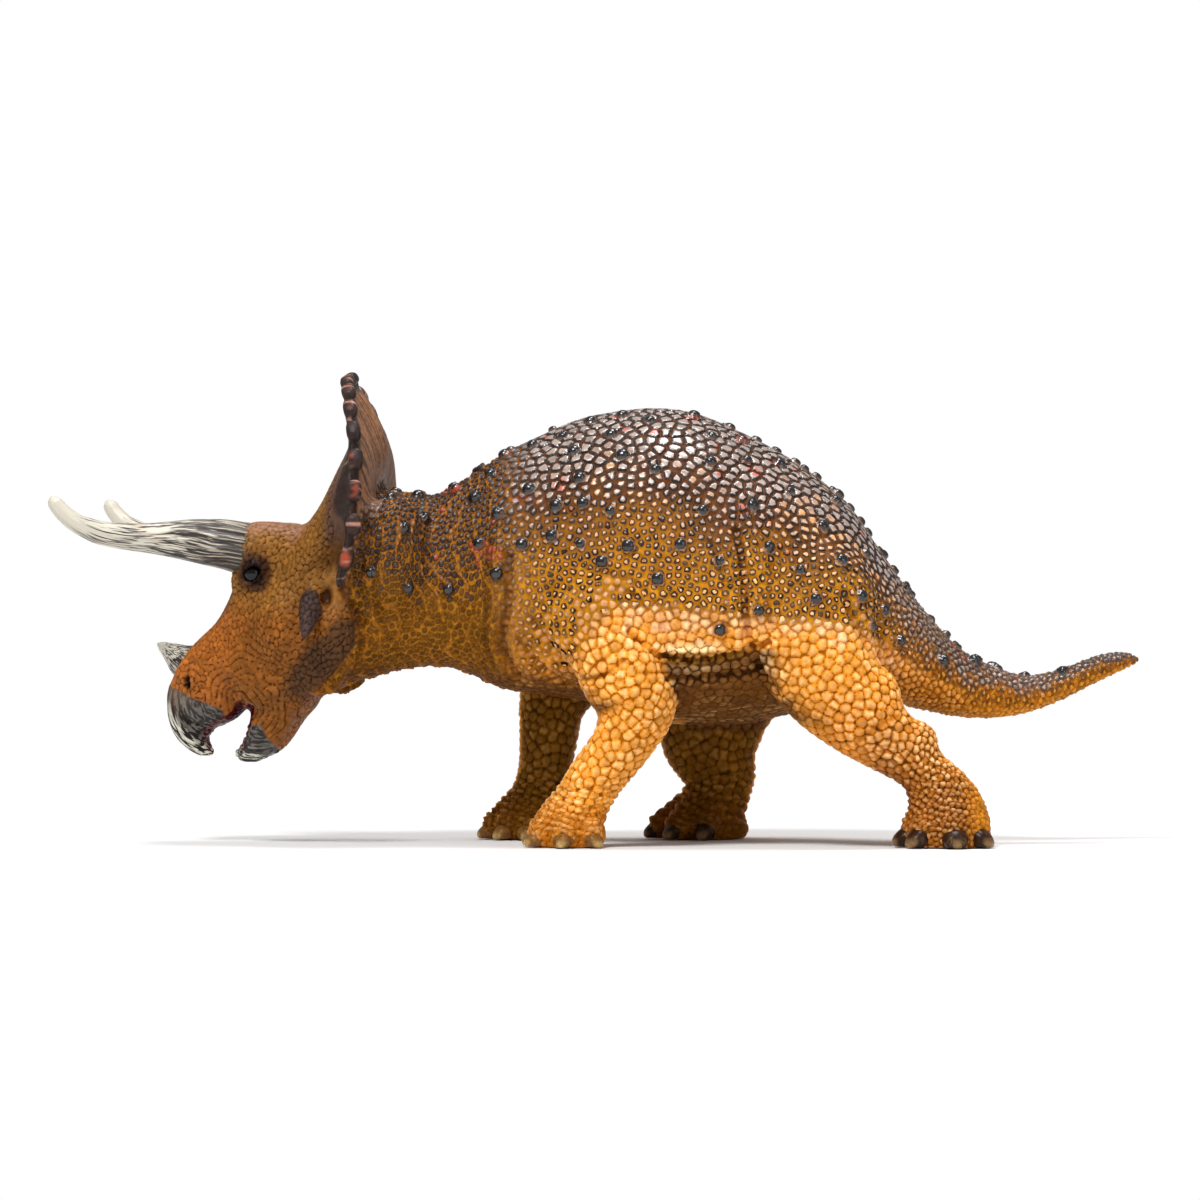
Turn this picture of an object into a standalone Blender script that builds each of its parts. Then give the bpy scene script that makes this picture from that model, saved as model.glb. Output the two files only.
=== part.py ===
"""Toy horned dinosaur figure, walking with its head lowered.

The figure is moulded in separate plastic pieces that are plugged together and glued: a hollow body in
two halves, a head with its jaw, frill, horns and eyes, a tail and four legs.
The head points to -X and the tail to +X, the figure's left side faces -Y, and +Z is up. Metres.
"""

import math

import bmesh
import bpy
import numpy as np
from mathutils import Matrix, Vector

# Body
TORSO_LENGTH = 0.112
TORSO_HEIGHT = 0.063
TORSO_WIDTH = 0.056
BELLY_CLEARANCE = 0.0255
SHELL_WALL = 0.0025
SEAM_GAP = 0.0003
FIT_GAP = 0.0003

# Pins and bosses that line up the two halves of the body
BOSS_RADIUS = 0.0028
BOSS_LENGTH = 0.006
BOSS_BITE = 0.0006
PIN_RADIUS = 0.0012
PIN_LENGTH = 0.004

# Tail
TAIL_LENGTH = 0.0485
TAIL_LIFT = 0.014
TAIL_SWAY = 0.005
SPIGOT_LENGTH = 0.007
SPIGOT_ROOT = 0.003
SPIGOT_PLAY = 0.0024

# Head, measured forward and upward from the middle of the neck's end
HEAD_LENGTH = 0.0368
HEAD_HEIGHT = 0.0465
HEAD_WIDTH = 0.033
HEAD_HANG = 0.029
HEAD_YAW = math.radians(9)
JAW_LENGTH = 0.0237
JAW_DEPTH = 0.019
JAW_WIDTH = 0.022
JAW_DROP = 0.031

# Frill
FRILL_WIDTH = 0.046
FRILL_HEIGHT = 0.0325
FRILL_THICKNESS = 0.0032
FRILL_BULGE = 0.0012
FRILL_LEAN = 0.0038
FRILL_LOBE_TURN = 0.0070
RIM_KNOB_RADIUS = 0.0022

# Horns and eyes
BROW_HORN_LENGTH = 0.0392
BROW_HORN_RADIUS = 0.0060
BROW_HORN_RISE = 0.0108
BROW_HORN_SPREAD = 0.0115
BROW_HORN_SPACING = 0.0165
NOSE_HORN_LENGTH = 0.0075
NOSE_HORN_RADIUS = 0.0031
HORN_PEG_RADIUS = 0.0018
HORN_PEG_LENGTH = 0.005
EYE_RADIUS = 0.0021
CHEEK_SPIKE_LENGTH = 0.0062
CHEEK_SPIKE_RADIUS = 0.0026
CHEEK_SPIKE_LEAN = math.radians(22)

# Legs
FRONT_LEG_THICKNESS = 0.0164
HIND_LEG_THICKNESS = 0.0196
LEG_SPREAD = 0.036
SHOULDER_SPREAD = 0.042
LEG_PEG_SIZE = 0.008
LEG_PEG_LENGTH = 0.0095
LEG_PEG_ROUNDING = 0.001
TOE_RADIUS = 0.0036
CLAW_RADIUS = 0.0021
FLOOR_MARGIN = 0.02

# How many points go round each cage, before subdivision
TORSO_SIDES = 14
HEAD_SIDES = 12
LEG_SIDES = 8
HORN_SIDES = 6

# Colours
HIDE = (0.50, 0.22, 0.05)
LEG_HIDE = (0.72, 0.36, 0.06)
TAIL_HIDE = (0.40, 0.18, 0.06)
HEAD_HIDE = (0.38, 0.15, 0.06)
FRILL_HIDE = (0.30, 0.11, 0.05)
IVORY = (0.70, 0.62, 0.46)
EYE_BLACK = (0.01, 0.008, 0.006)
SATIN, POLISHED, GLOSSY = 0.45, 0.40, 0.08

# Body stations: along, underside, back and half width, as shares of length, height, height and half width
TORSO_SHARES = (
    (0.000, 0.135, 0.593, 0.446),
    (0.085, 0.142, 0.709, 0.535),
    (0.215, 0.130, 0.752, 0.620),
    (0.310, 0.065, 0.858, 0.730),
    (0.415, 0.046, 0.945, 0.850),
    (0.530, 0.012, 0.985, 0.945),
    (0.650, -0.020, 0.955, 0.985),
    (0.775, -0.004, 0.850, 0.945),
    (0.900, 0.040, 0.672, 0.775),
    (1.000, 0.029, 0.433, 0.490),
)
# The height of the widest level of a body station, as a share of its own height
WIDEST_SHARE = 0.42
# Places of the locating bosses along the body: station share, and whether at the back or the belly
BACK_BOSS_SHARES = (0.30, 0.78)
BELLY_BOSS_SHARES = (0.36, 0.72)

# Tail stations: along the length, height as a share of the lift, thickness and sideways share
TAIL_SHARES = (
    (0.00, 1.000, 1.000, 0.00),
    (0.14, 0.590, 0.670, 0.02),
    (0.30, 0.270, 0.470, 0.10),
    (0.46, 0.200, 0.345, 0.25),
    (0.62, 0.330, 0.285, 0.45),
    (0.78, 0.580, 0.250, 0.66),
    (0.91, 0.800, 0.225, 0.86),
    (0.99, 0.880, 0.140, 0.97),
)

# Head stations: forward, underside and top as shares of length, height and height, and half width
HEAD_SHARES = (
    (-0.11, 0.290, 0.850, 0.900),
    (0.05, 0.215, 0.960, 1.000),
    (0.20, 0.215, 0.990, 1.000),
    (0.37, 0.200, 0.980, 0.880),
    (0.50, 0.190, 0.940, 0.745),
    (0.585, 0.178, 0.790, 0.650),
    (0.655, 0.165, 0.610, 0.580),
    (0.735, 0.130, 0.520, 0.500),
    (0.795, -0.060, 0.490, 0.430),
    (0.875, -0.045, 0.440, 0.350),
    (0.94, 0.030, 0.355, 0.250),
    (0.99, 0.140, 0.250, 0.110),
)
CHEEK_FULLNESS = 0.6
# Jaw stations: forward, underside and top as shares of jaw length and depth, and half width
JAW_SHARES = (
    (0.10, 0.66, 1.35, 0.92),
    (0.32, 0.42, 1.20, 1.00),
    (0.54, 0.135, 1.05, 0.80),
    (0.72, -0.060, 0.80, 0.62),
    (0.86, -0.120, 0.34, 0.46),
    (0.95, -0.080, 0.20, 0.24),
)
# Frill outline: half the angle that it spans, its rings and spokes, and the knobs along its rim
FRILL_HALF_TURN = math.radians(106)
FRILL_RING_SHARES = (0.08, 0.40, 0.72, 1.0)
FRILL_SPOKES = 13
RIM_KNOBS = 15
RIM_KNOB_LENGTH_SHARE = 1.25
RIM_KNOB_DEPTH_SHARE = 0.85
RIM_TURN_STEP = math.radians(0.5)
FRILL_SEAT_SHARE = -0.155
FRILL_LEVEL_SHARE = 0.90
# The frill's root, which flares from the temples to its rim: forward, underside and top as shares of the
# head's length, height and height, and half width as a share of the frill's
FRILL_ROOT_SHARES = (
    (0.30, 0.62, 0.91, 0.50),
    (0.18, 0.62, 0.96, 0.650),
    (0.06, 0.64, 1.07, 0.775),
    (-0.06, 0.67, 1.21, 0.870),
    (-0.16, 0.76, 1.22, 0.800),
)

# Horn stations: along, rise, outward spread and thickness
BROW_HORN_SHARES = (
    (-0.12, -0.12, -0.10, 0.70),
    (0.02, 0.020, 0.00, 0.98),
    (0.27, 0.190, 0.32, 0.70),
    (0.55, 0.310, 0.66, 0.46),
    (0.80, 0.520, 0.90, 0.37),
    (0.94, 0.820, 0.98, 0.27),
    (1.00, 1.000, 1.00, 0.13),
)
NOSE_HORN_SHARES = (
    (-0.40, -0.10, 0.0, 1.05),
    (0.00, 0.000, 0.0, 1.00),
    (0.45, 0.080, 0.0, 0.66),
    (0.85, 0.260, 0.0, 0.30),
    (1.00, 0.340, 0.0, 0.14),
)
# Where the horns and eyes sit on the head: shares of its length, of its height and of its half width
BROW_HORN_PLACE_SHARES = (0.515, 0.835)
NOSE_HORN_PLACE_SHARES = (0.875, 0.405)
EYE_PLACE_SHARES = (0.460, 0.728, 0.710)
CHEEK_SPIKE_PLACE_SHARES = (0.135, 0.600, 0.985)

# Leg stations from shoulder to sole: fore-and-aft place, height, depth, width and outward place.
# The place is a share of the leg's height, the depth and width of its thickness, and the last one runs
# from the foot's spread (0) to the shoulder's (1).
FRONT_LEFT_SHARES = (
    (-0.04, 1.30, 0.75, 0.40, 0.45),
    (-0.02, 1.12, 1.15, 0.75, 0.80),
    (0.03, 0.93, 1.26, 1.00, 0.95),
    (0.12, 0.78, 1.18, 1.02, 1.00),
    (0.180, 0.655, 1.00, 0.95, 0.95),
    (0.128, 0.510, 0.82, 0.88, 0.75),
    (0.040, 0.400, 0.74, 0.82, 0.50),
    (-0.040, 0.290, 0.70, 0.78, 0.25),
    (-0.100, 0.175, 0.72, 0.80, 0.08),
    (-0.140, 0.075, 0.88, 0.96, 0.00),
    (-0.147, -0.030, 0.92, 1.00, 0.00),
)
FRONT_RIGHT_SHARES = (
    (-0.04, 1.30, 0.75, 0.40, 0.45),
    (-0.10, 1.10, 1.10, 0.75, 0.80),
    (-0.17, 0.88, 1.10, 0.98, 0.95),
    (-0.235, 0.705, 0.90, 0.96, 0.95),
    (-0.252, 0.580, 0.76, 0.86, 0.75),
    (-0.252, 0.440, 0.70, 0.80, 0.50),
    (-0.262, 0.290, 0.66, 0.78, 0.25),
    (-0.295, 0.170, 0.72, 0.84, 0.08),
    (-0.345, 0.075, 0.92, 1.00, 0.00),
    (-0.355, -0.030, 0.96, 1.04, 0.00),
)
HIND_LEFT_SHARES = (
    (0.02, 1.36, 0.80, 0.30, -0.50),
    (0.01, 1.18, 1.32, 0.62, 0.60),
    (-0.02, 0.98, 1.46, 0.88, 0.95),
    (0.01, 0.78, 1.34, 0.94, 1.00),
    (0.085, 0.630, 1.18, 0.92, 0.95),
    (0.190, 0.505, 0.98, 0.86, 0.80),
    (0.312, 0.395, 0.76, 0.74, 0.55),
    (0.430, 0.290, 0.62, 0.68, 0.30),
    (0.500, 0.180, 0.70, 0.74, 0.08),
    (0.525, 0.070, 0.86, 0.88, 0.00),
    (0.525, -0.030, 0.90, 0.92, 0.00),
)
HIND_RIGHT_SHARES = (
    (0.02, 1.36, 0.80, 0.30, -0.50),
    (-0.06, 1.16, 1.25, 0.62, 0.60),
    (-0.18, 0.92, 1.30, 0.90, 0.95),
    (-0.30, 0.72, 1.10, 0.94, 0.95),
    (-0.400, 0.565, 1.06, 0.90, 0.80),
    (-0.430, 0.440, 1.00, 0.80, 0.60),
    (-0.395, 0.325, 0.76, 0.72, 0.40),
    (-0.392, 0.230, 0.64, 0.68, 0.22),
    (-0.425, 0.140, 0.70, 0.76, 0.08),
    (-0.465, 0.060, 0.94, 0.92, 0.00),
    (-0.470, -0.030, 0.98, 0.96, 0.00),
)
# Where each leg plugs into the body: share of its length and of its height
SHOULDER_LEFT_SHARES = (0.455, 0.270)
SHOULDER_RIGHT_SHARES = (0.455, 0.270)
HIP_LEFT_SHARES = (0.845, 0.340)
HIP_RIGHT_SHARES = (0.845, 0.340)
# Toes: how far each points outward from straight ahead, and how a toe and claw sit on the foot's outline
FRONT_LEFT_TOE_ANGLES = tuple(math.radians(angle) for angle in (-56, -16, 24, 70, 116))
FRONT_RIGHT_TOE_ANGLES = tuple(math.radians(angle) for angle in (-80, -44, -8, 30, 72))
HIND_LEFT_TOE_ANGLES = tuple(math.radians(angle) for angle in (6, 48, 94, 136))
HIND_RIGHT_TOE_ANGLES = tuple(math.radians(angle) for angle in (-78, -40, -2, 38))
TOE_PLACE_SHARE = 0.80
CLAW_PLACE_SHARE = 1.10
TOE_LEVEL_SHARE = 0.75
CLAW_LEVEL_SHARE = 0.72
CLAW_LENGTH_SHARE = 1.35

LEFT, RIGHT = -1, 1


def clear_scene():
    """Removes whatever the scene holds."""
    for item in list(bpy.data.objects):
        bpy.data.objects.remove(item, do_unlink=True)


def make_material(name, colour, roughness):
    """A plain moulded plastic of one colour."""
    material = bpy.data.materials.new(name)
    material.use_nodes = True
    shader = material.node_tree.nodes["Principled BSDF"]
    shader.inputs["Base Color"].default_value = (*colour, 1)
    shader.inputs["Roughness"].default_value = roughness
    shader.inputs["Metallic"].default_value = 0
    return material


def oval(centre, across, upward, half_width, reach_up, reach_down, sides, fullness=1):
    """One section of a cage: an oval whose upper and lower halves may differ.

    A fullness under 1 fills out the lower half towards a box. The points stand out by
    1/cos(pi/sides), which one subdivision takes back.
    """
    turn = 2 * math.pi * np.arange(sides) / sides
    stand_out = 1 / math.cos(math.pi / sides)
    sine, cosine = np.sin(turn), np.cos(turn)
    rise = np.where(sine > 0, reach_up, reach_down) * sine
    reach = half_width * np.where(sine > 0, cosine, np.sign(cosine) * np.abs(cosine) ** fullness)
    return np.asarray(centre) + stand_out * (np.outer(reach, across) + np.outer(rise, upward))


def cage(name, rings, capped=True, flat_ends=False):
    """A mesh through neighbouring rings of points; its end rings are creased where the ends stay flat."""
    sides = len(rings[0])
    shape = bmesh.new()
    crease = shape.edges.layers.float.new("crease_edge")
    rows = [[shape.verts.new(point) for point in ring] for ring in rings]
    for row, after in zip(rows, rows[1:]):
        for k in range(sides):
            turn = (k + 1) % sides
            shape.faces.new((row[k], row[turn], after[turn], after[k]))
    if capped:
        for end in (rows[0], rows[-1]):
            cap = shape.faces.new(end)
            for edge in cap.edges:
                edge[crease] = 1 if flat_ends else 0
    bmesh.ops.recalc_face_normals(shape, faces=shape.faces)
    mesh = bpy.data.meshes.new(name)
    shape.to_mesh(mesh)
    shape.free()
    return mesh


def add_piece(name, mesh, collection, parent, material=None):
    """An object for a mesh, in its collection and under its parent."""
    piece = bpy.data.objects.new(name, mesh)
    collection.objects.link(piece)
    piece.parent = parent
    if material:
        mesh.materials.append(material)
        mesh.shade_smooth()
    else:
        piece.hide_render = True
        piece.display_type = "WIRE"
    return piece


def subdivide(piece, levels=1):
    """Rounds a cage."""
    modifier = piece.modifiers.new("round", "SUBSURF")
    modifier.levels = levels
    modifier.render_levels = levels


def inflate(piece, gap):
    """Swells a cutter by a gap, so that what it cuts stands clear of the piece it follows."""
    modifier = piece.modifiers.new("gap", "DISPLACE")
    modifier.strength = gap
    modifier.mid_level = 0


def combine(piece, cutter, operation):
    """Cuts a piece with another shape, or joins that shape to it.

    The solver is the one for closed meshes: the exact one drops whole bodies here, where a curved flank
    is cut nearly edge on and where toes cross each other.
    """
    modifier = piece.modifiers.new(operation.lower(), "BOOLEAN")
    modifier.operation = operation
    modifier.object = cutter
    modifier.solver = "MANIFOLD"


def primitive_mesh(name, build, *placements):
    """A mesh of one primitive at each placement; build adds it to a bmesh with a matrix."""
    shape = bmesh.new()
    for placement in placements:
        build(shape, placement)
    mesh = bpy.data.meshes.new(name)
    shape.to_mesh(mesh)
    shape.free()
    return mesh


def ball(radius, segments=12, rings=7):
    """Adds a sphere."""

    def build(shape, placement):
        counts = {"u_segments": segments, "v_segments": rings}
        bmesh.ops.create_uvsphere(shape, radius=radius, matrix=placement, **counts)

    return build


def rod(radius, length, end_radius=None, segments=8):
    """Adds a round rod or cone along its own Z, centred."""
    end_radius = radius if end_radius is None else end_radius

    def build(shape, placement):
        ends = {"radius1": radius, "radius2": end_radius, "cap_ends": True, "segments": segments}
        bmesh.ops.create_cone(shape, depth=length, matrix=placement, **ends)

    return build


def block(size):
    """Adds a box of the given size along X, Y and Z."""

    def build(shape, placement):
        bmesh.ops.create_cube(shape, size=1, matrix=placement @ Matrix.Diagonal((*size, 1)))

    return build


def along_y(x, y, z):
    """A placement that lays a primitive's own Z along Y."""
    return Matrix.Translation((x, y, z)) @ Matrix.Rotation(math.pi / 2, 4, "X")


def torso_station(share):
    """Underside, back and half width of the body at a share of its length, in metres."""
    stations = np.array(TORSO_SHARES)
    low, high, wide = (np.interp(share, stations[:, 0], stations[:, k]) for k in (1, 2, 3))
    low_height = BELLY_CLEARANCE + low * TORSO_HEIGHT
    high_height = BELLY_CLEARANCE + high * TORSO_HEIGHT
    return low_height, high_height, wide * TORSO_WIDTH / 2


def torso_ring(share, inset=0, shift=0):
    """The body's section at a share of its length, drawn in by an inset and moved along X."""
    low, high, half_width = torso_station(share)
    level = low + WIDEST_SHARE * (high - low)
    centre = (share * TORSO_LENGTH + shift, 0, level)
    reach_up, reach_down = high - level - inset, level - low - inset
    return oval(centre, (0, 1, 0), (0, 0, 1), half_width - inset, reach_up, reach_down, TORSO_SIDES)


def torso_cage(name, capped):
    """The body's cage, open at the neck and the tail unless capped."""
    return cage(name, [torso_ring(row[0]) for row in TORSO_SHARES], capped, flat_ends=True)


def boss_placements(reach):
    """Where the locating bosses stand inside the body's seam, with their middles at Y = reach."""
    inset = SHELL_WALL + BOSS_RADIUS - BOSS_BITE
    placements = []
    for share in BACK_BOSS_SHARES:
        high = torso_station(share)[1]
        placements.append(along_y(share * TORSO_LENGTH, reach, high - inset))
    for share in BELLY_BOSS_SHARES:
        low = torso_station(share)[0]
        placements.append(along_y(share * TORSO_LENGTH, reach, low + inset))
    return placements


def half_space(name, side, tools, root):
    """A box that fills the other side of the seam."""
    size = (2 * TORSO_LENGTH, 2 * TORSO_WIDTH, 2 * (TORSO_HEIGHT + BELLY_CLEARANCE))
    middle = Matrix.Translation((TORSO_LENGTH / 2, -side * (size[1] - SEAM_GAP) / 2, TORSO_HEIGHT))
    return add_piece(name, primitive_mesh(name, block(size), middle), tools, root)


def make_torso_half(name, side, leg_sockets, model, tools, root, material):
    """One half of the hollow body: the tube of the body given a wall, halved, with bosses and sockets."""
    shell = add_piece(name, torso_cage(name, capped=False), model, root, material)
    subdivide(shell)
    wall = shell.modifiers.new("wall", "SOLIDIFY")
    wall.thickness = SHELL_WALL
    wall.offset = -1
    wall.use_even_offset = True
    bosses = primitive_mesh(
        name + "_bosses", rod(BOSS_RADIUS, BOSS_LENGTH), *boss_placements(side * BOSS_LENGTH / 2)
    )
    combine(shell, add_piece(name + "_bosses", bosses, tools, root), "UNION")
    combine(shell, half_space(name + "_seam", side, tools, root), "DIFFERENCE")
    if side == LEFT:
        pins = primitive_mesh(name + "_pins", rod(PIN_RADIUS, 2 * PIN_LENGTH), *boss_placements(0))
        combine(shell, add_piece(name + "_pins", pins, tools, root), "UNION")
    else:
        hole_length = 2 * (PIN_LENGTH + FIT_GAP)
        bore = rod(PIN_RADIUS + FIT_GAP, hole_length)
        holes = primitive_mesh(name + "_holes", bore, *boss_placements(0))
        combine(shell, add_piece(name + "_holes", holes, tools, root), "DIFFERENCE")
    for socket in leg_sockets:
        combine(shell, socket, "DIFFERENCE")
    return shell


def make_spigot(name, share, inward, tools, root):
    """A straight plug with the outline of the body's open end, drawn in to clear its sloping wall."""
    inset = SHELL_WALL + SPIGOT_PLAY
    shifts = (-inward * SPIGOT_ROOT, inward * SPIGOT_LENGTH)
    rings = [torso_ring(share, inset, shift) for shift in shifts]
    spigot = add_piece(name, cage(name, rings, flat_ends=True), tools, root)
    subdivide(spigot)
    return spigot


def make_tail(model, tools, root, material):
    """The tail, swept down from the hips and up to its tip, with the spigot that plugs the body."""
    low, high, half_width = torso_station(1)
    half_height = (high - low) / 2
    last = len(TAIL_SHARES) - 1
    rings = []
    for k, (along, lift, thick, sway) in enumerate(TAIL_SHARES):
        before, after = TAIL_SHARES[max(k - 1, 0)], TAIL_SHARES[min(k + 1, last)]
        run = (after[0] - before[0]) * TAIL_LENGTH
        rise = (after[1] - before[1]) * TAIL_LIFT
        slope = Vector((run, 0, rise)).normalized() if k else Vector((1, 0, 0))
        upward = slope.cross(Vector((0, 1, 0))) * -1
        level = low + half_height + (lift - 1) * TAIL_LIFT
        centre = (TORSO_LENGTH + FIT_GAP + along * TAIL_LENGTH, sway * TAIL_SWAY, level)
        reach = thick * half_height
        rings.append(oval(centre, (0, 1, 0), upward, thick * half_width, reach, reach, LEG_SIDES))
    mesh = cage("tail", rings)
    crease_first_ring(mesh)
    tail = add_piece("tail", mesh, model, root, material)
    subdivide(tail)
    combine(tail, make_spigot("tail_spigot", 1, -1, tools, root), "UNION")
    return tail


def crease_first_ring(mesh):
    """Keeps the first end of a cage flat, where it meets its neighbour."""
    creases = mesh.attributes["crease_edge"].data
    for edge in mesh.edges:
        if max(edge.vertices) < LEG_SIDES:
            creases[edge.index].value = 1


def follower(name, mesh, tools, parent, gap, levels=1):
    """A cutter that follows a piece's own form and stands out from it by a gap."""
    cutter = add_piece(name, mesh, tools, parent)
    subdivide(cutter, levels)
    inflate(cutter, gap)
    return cutter


def head_point(forward, level, outward=0):
    """A point in the head's frame from shares of its length, height and half width, outward to the left."""
    return Vector((-forward * HEAD_LENGTH, -outward * HEAD_WIDTH / 2, level * HEAD_HEIGHT - HEAD_HANG))


def head_mesh(name):
    """The skull and upper beak: upright sections from the neck to the front of the beak."""
    rings = []
    for forward, low, high, wide in HEAD_SHARES:
        bottom, top = head_point(forward, low), head_point(forward, high)
        middle = (bottom + top) / 2
        reach = (top.z - bottom.z) / 2
        half_width = wide * HEAD_WIDTH / 2
        section = oval(middle, (0, 1, 0), (0, 0, 1), half_width, reach, reach, HEAD_SIDES, CHEEK_FULLNESS)
        rings.append(section)
    return cage(name, rings)


def jaw_mesh(name):
    """The lower jaw: upright sections from under the cheek to the tip of its beak."""
    rings = []
    for forward, low, high, wide in JAW_SHARES:
        bottom = low * JAW_DEPTH - JAW_DROP
        top = high * JAW_DEPTH - JAW_DROP
        middle = (-forward * JAW_LENGTH, 0, (bottom + top) / 2)
        reach = (top - bottom) / 2
        rings.append(oval(middle, (0, 1, 0), (0, 0, 1), wide * JAW_WIDTH / 2, reach, reach, LEG_SIDES))
    return cage(name, rings)


def frill_point(turn, reach):
    """A point of the frill's middle surface at an angle from upright and a share of its reach.

    The shield is a shallow dish, hollow in front: its top leans forward over the skull, and its two
    lower lobes turn forward.
    """
    across = reach * math.sin(turn) * FRILL_WIDTH / 2
    rise = reach * math.cos(turn)
    seat = head_point(FRILL_SEAT_SHARE, FRILL_LEVEL_SHARE)
    lift, drop = max(rise, 0), max(-rise, 0)
    back = FRILL_BULGE * (1 - reach * reach) - FRILL_LEAN * lift * lift - FRILL_LOBE_TURN * drop
    return seat + Vector((back, across, rise * FRILL_HEIGHT))


def frill_root_mesh(name):
    """The skin that rises from the skull to the shield: upright sections that widen to its rim."""
    rings = []
    for forward, low, high, wide in FRILL_ROOT_SHARES:
        bottom, top = head_point(forward, low), head_point(forward, high)
        middle = (bottom + top) / 2
        reach = (top.z - bottom.z) / 2
        rings.append(oval(middle, (0, 1, 0), (0, 0, 1), wide * FRILL_WIDTH / 2, reach, reach, HEAD_SIDES))
    return cage(name, rings)


def frill_mesh(name):
    """The shield as an open fan of spokes and rings, to be given its thickness."""
    shape = bmesh.new()
    rows = []
    for reach in FRILL_RING_SHARES:
        turns = np.linspace(-FRILL_HALF_TURN, FRILL_HALF_TURN, FRILL_SPOKES)
        rows.append([shape.verts.new(frill_point(turn, reach)) for turn in turns])
    for row, after in zip(rows, rows[1:]):
        for k in range(FRILL_SPOKES - 1):
            shape.faces.new((row[k], row[k + 1], after[k + 1], after[k]))
    mesh = bpy.data.meshes.new(name)
    shape.to_mesh(mesh)
    shape.free()
    return mesh


def rim_knob_placements():
    """Flattened knobs along the frill's rim, each with its long side along the rim."""
    placements = []
    for turn in np.linspace(-FRILL_HALF_TURN, FRILL_HALF_TURN, RIM_KNOBS + 2)[1:-1]:
        before, after = frill_point(turn - RIM_TURN_STEP, 1), frill_point(turn + RIM_TURN_STEP, 1)
        tangent = (after - before).normalized()
        outward = (frill_point(turn, 1) - frill_point(turn, FRILL_RING_SHARES[-2])).normalized()
        across = tangent.cross(outward).normalized()
        outward = across.cross(tangent)
        shares = (RIM_KNOB_DEPTH_SHARE, RIM_KNOB_LENGTH_SHARE, 1)
        turned = Matrix((across, tangent, outward)).transposed().to_4x4()
        place = Matrix.Translation(frill_point(turn, 1))
        placements.append(place @ turned @ Matrix.Diagonal((*shares, 1)))
    return placements


def horn_mesh(name, shares, base, sweep, radius):
    """A tapered horn swept forward from its base, rising and spreading as it goes."""
    length, rise, spread = sweep
    rows = np.array(shares)
    path = [base + Vector((-row[0] * length, row[2] * spread, row[1] * rise)) for row in rows]
    rings = []
    for k, point in enumerate(path):
        ahead = (path[min(k + 1, len(path) - 1)] - path[max(k - 1, 0)]).normalized()
        across = ahead.cross(Vector((0, 0, 1))).normalized()
        upward = across.cross(ahead)
        reach = rows[k][3] * radius
        rings.append(oval(point, across, upward, reach, reach, reach, HORN_SIDES))
    return cage(name, rings)


def make_horn(mesh, base, head, head_form, model, tools, head_frame, material):
    """A horn seated on the head, on a round peg that its socket takes."""
    name = mesh.name
    horn = add_piece(name, mesh, model, head_frame, material)
    subdivide(horn)
    combine(horn, head_form, "DIFFERENCE")
    middle = base + Vector((HORN_PEG_LENGTH / 2, 0, 0))
    lay = Matrix.Translation(middle) @ Matrix.Rotation(math.pi / 2, 4, "Y")
    peg = primitive_mesh(name + "_peg", rod(HORN_PEG_RADIUS, 2 * HORN_PEG_LENGTH), lay)
    combine(horn, add_piece(name + "_peg", peg, tools, head_frame), "UNION")
    hole_length = 2 * (HORN_PEG_LENGTH + FIT_GAP)
    hole = primitive_mesh(name + "_socket", rod(HORN_PEG_RADIUS + FIT_GAP, hole_length), lay)
    combine(head, add_piece(name + "_socket", hole, tools, head_frame), "DIFFERENCE")
    return horn


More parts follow.
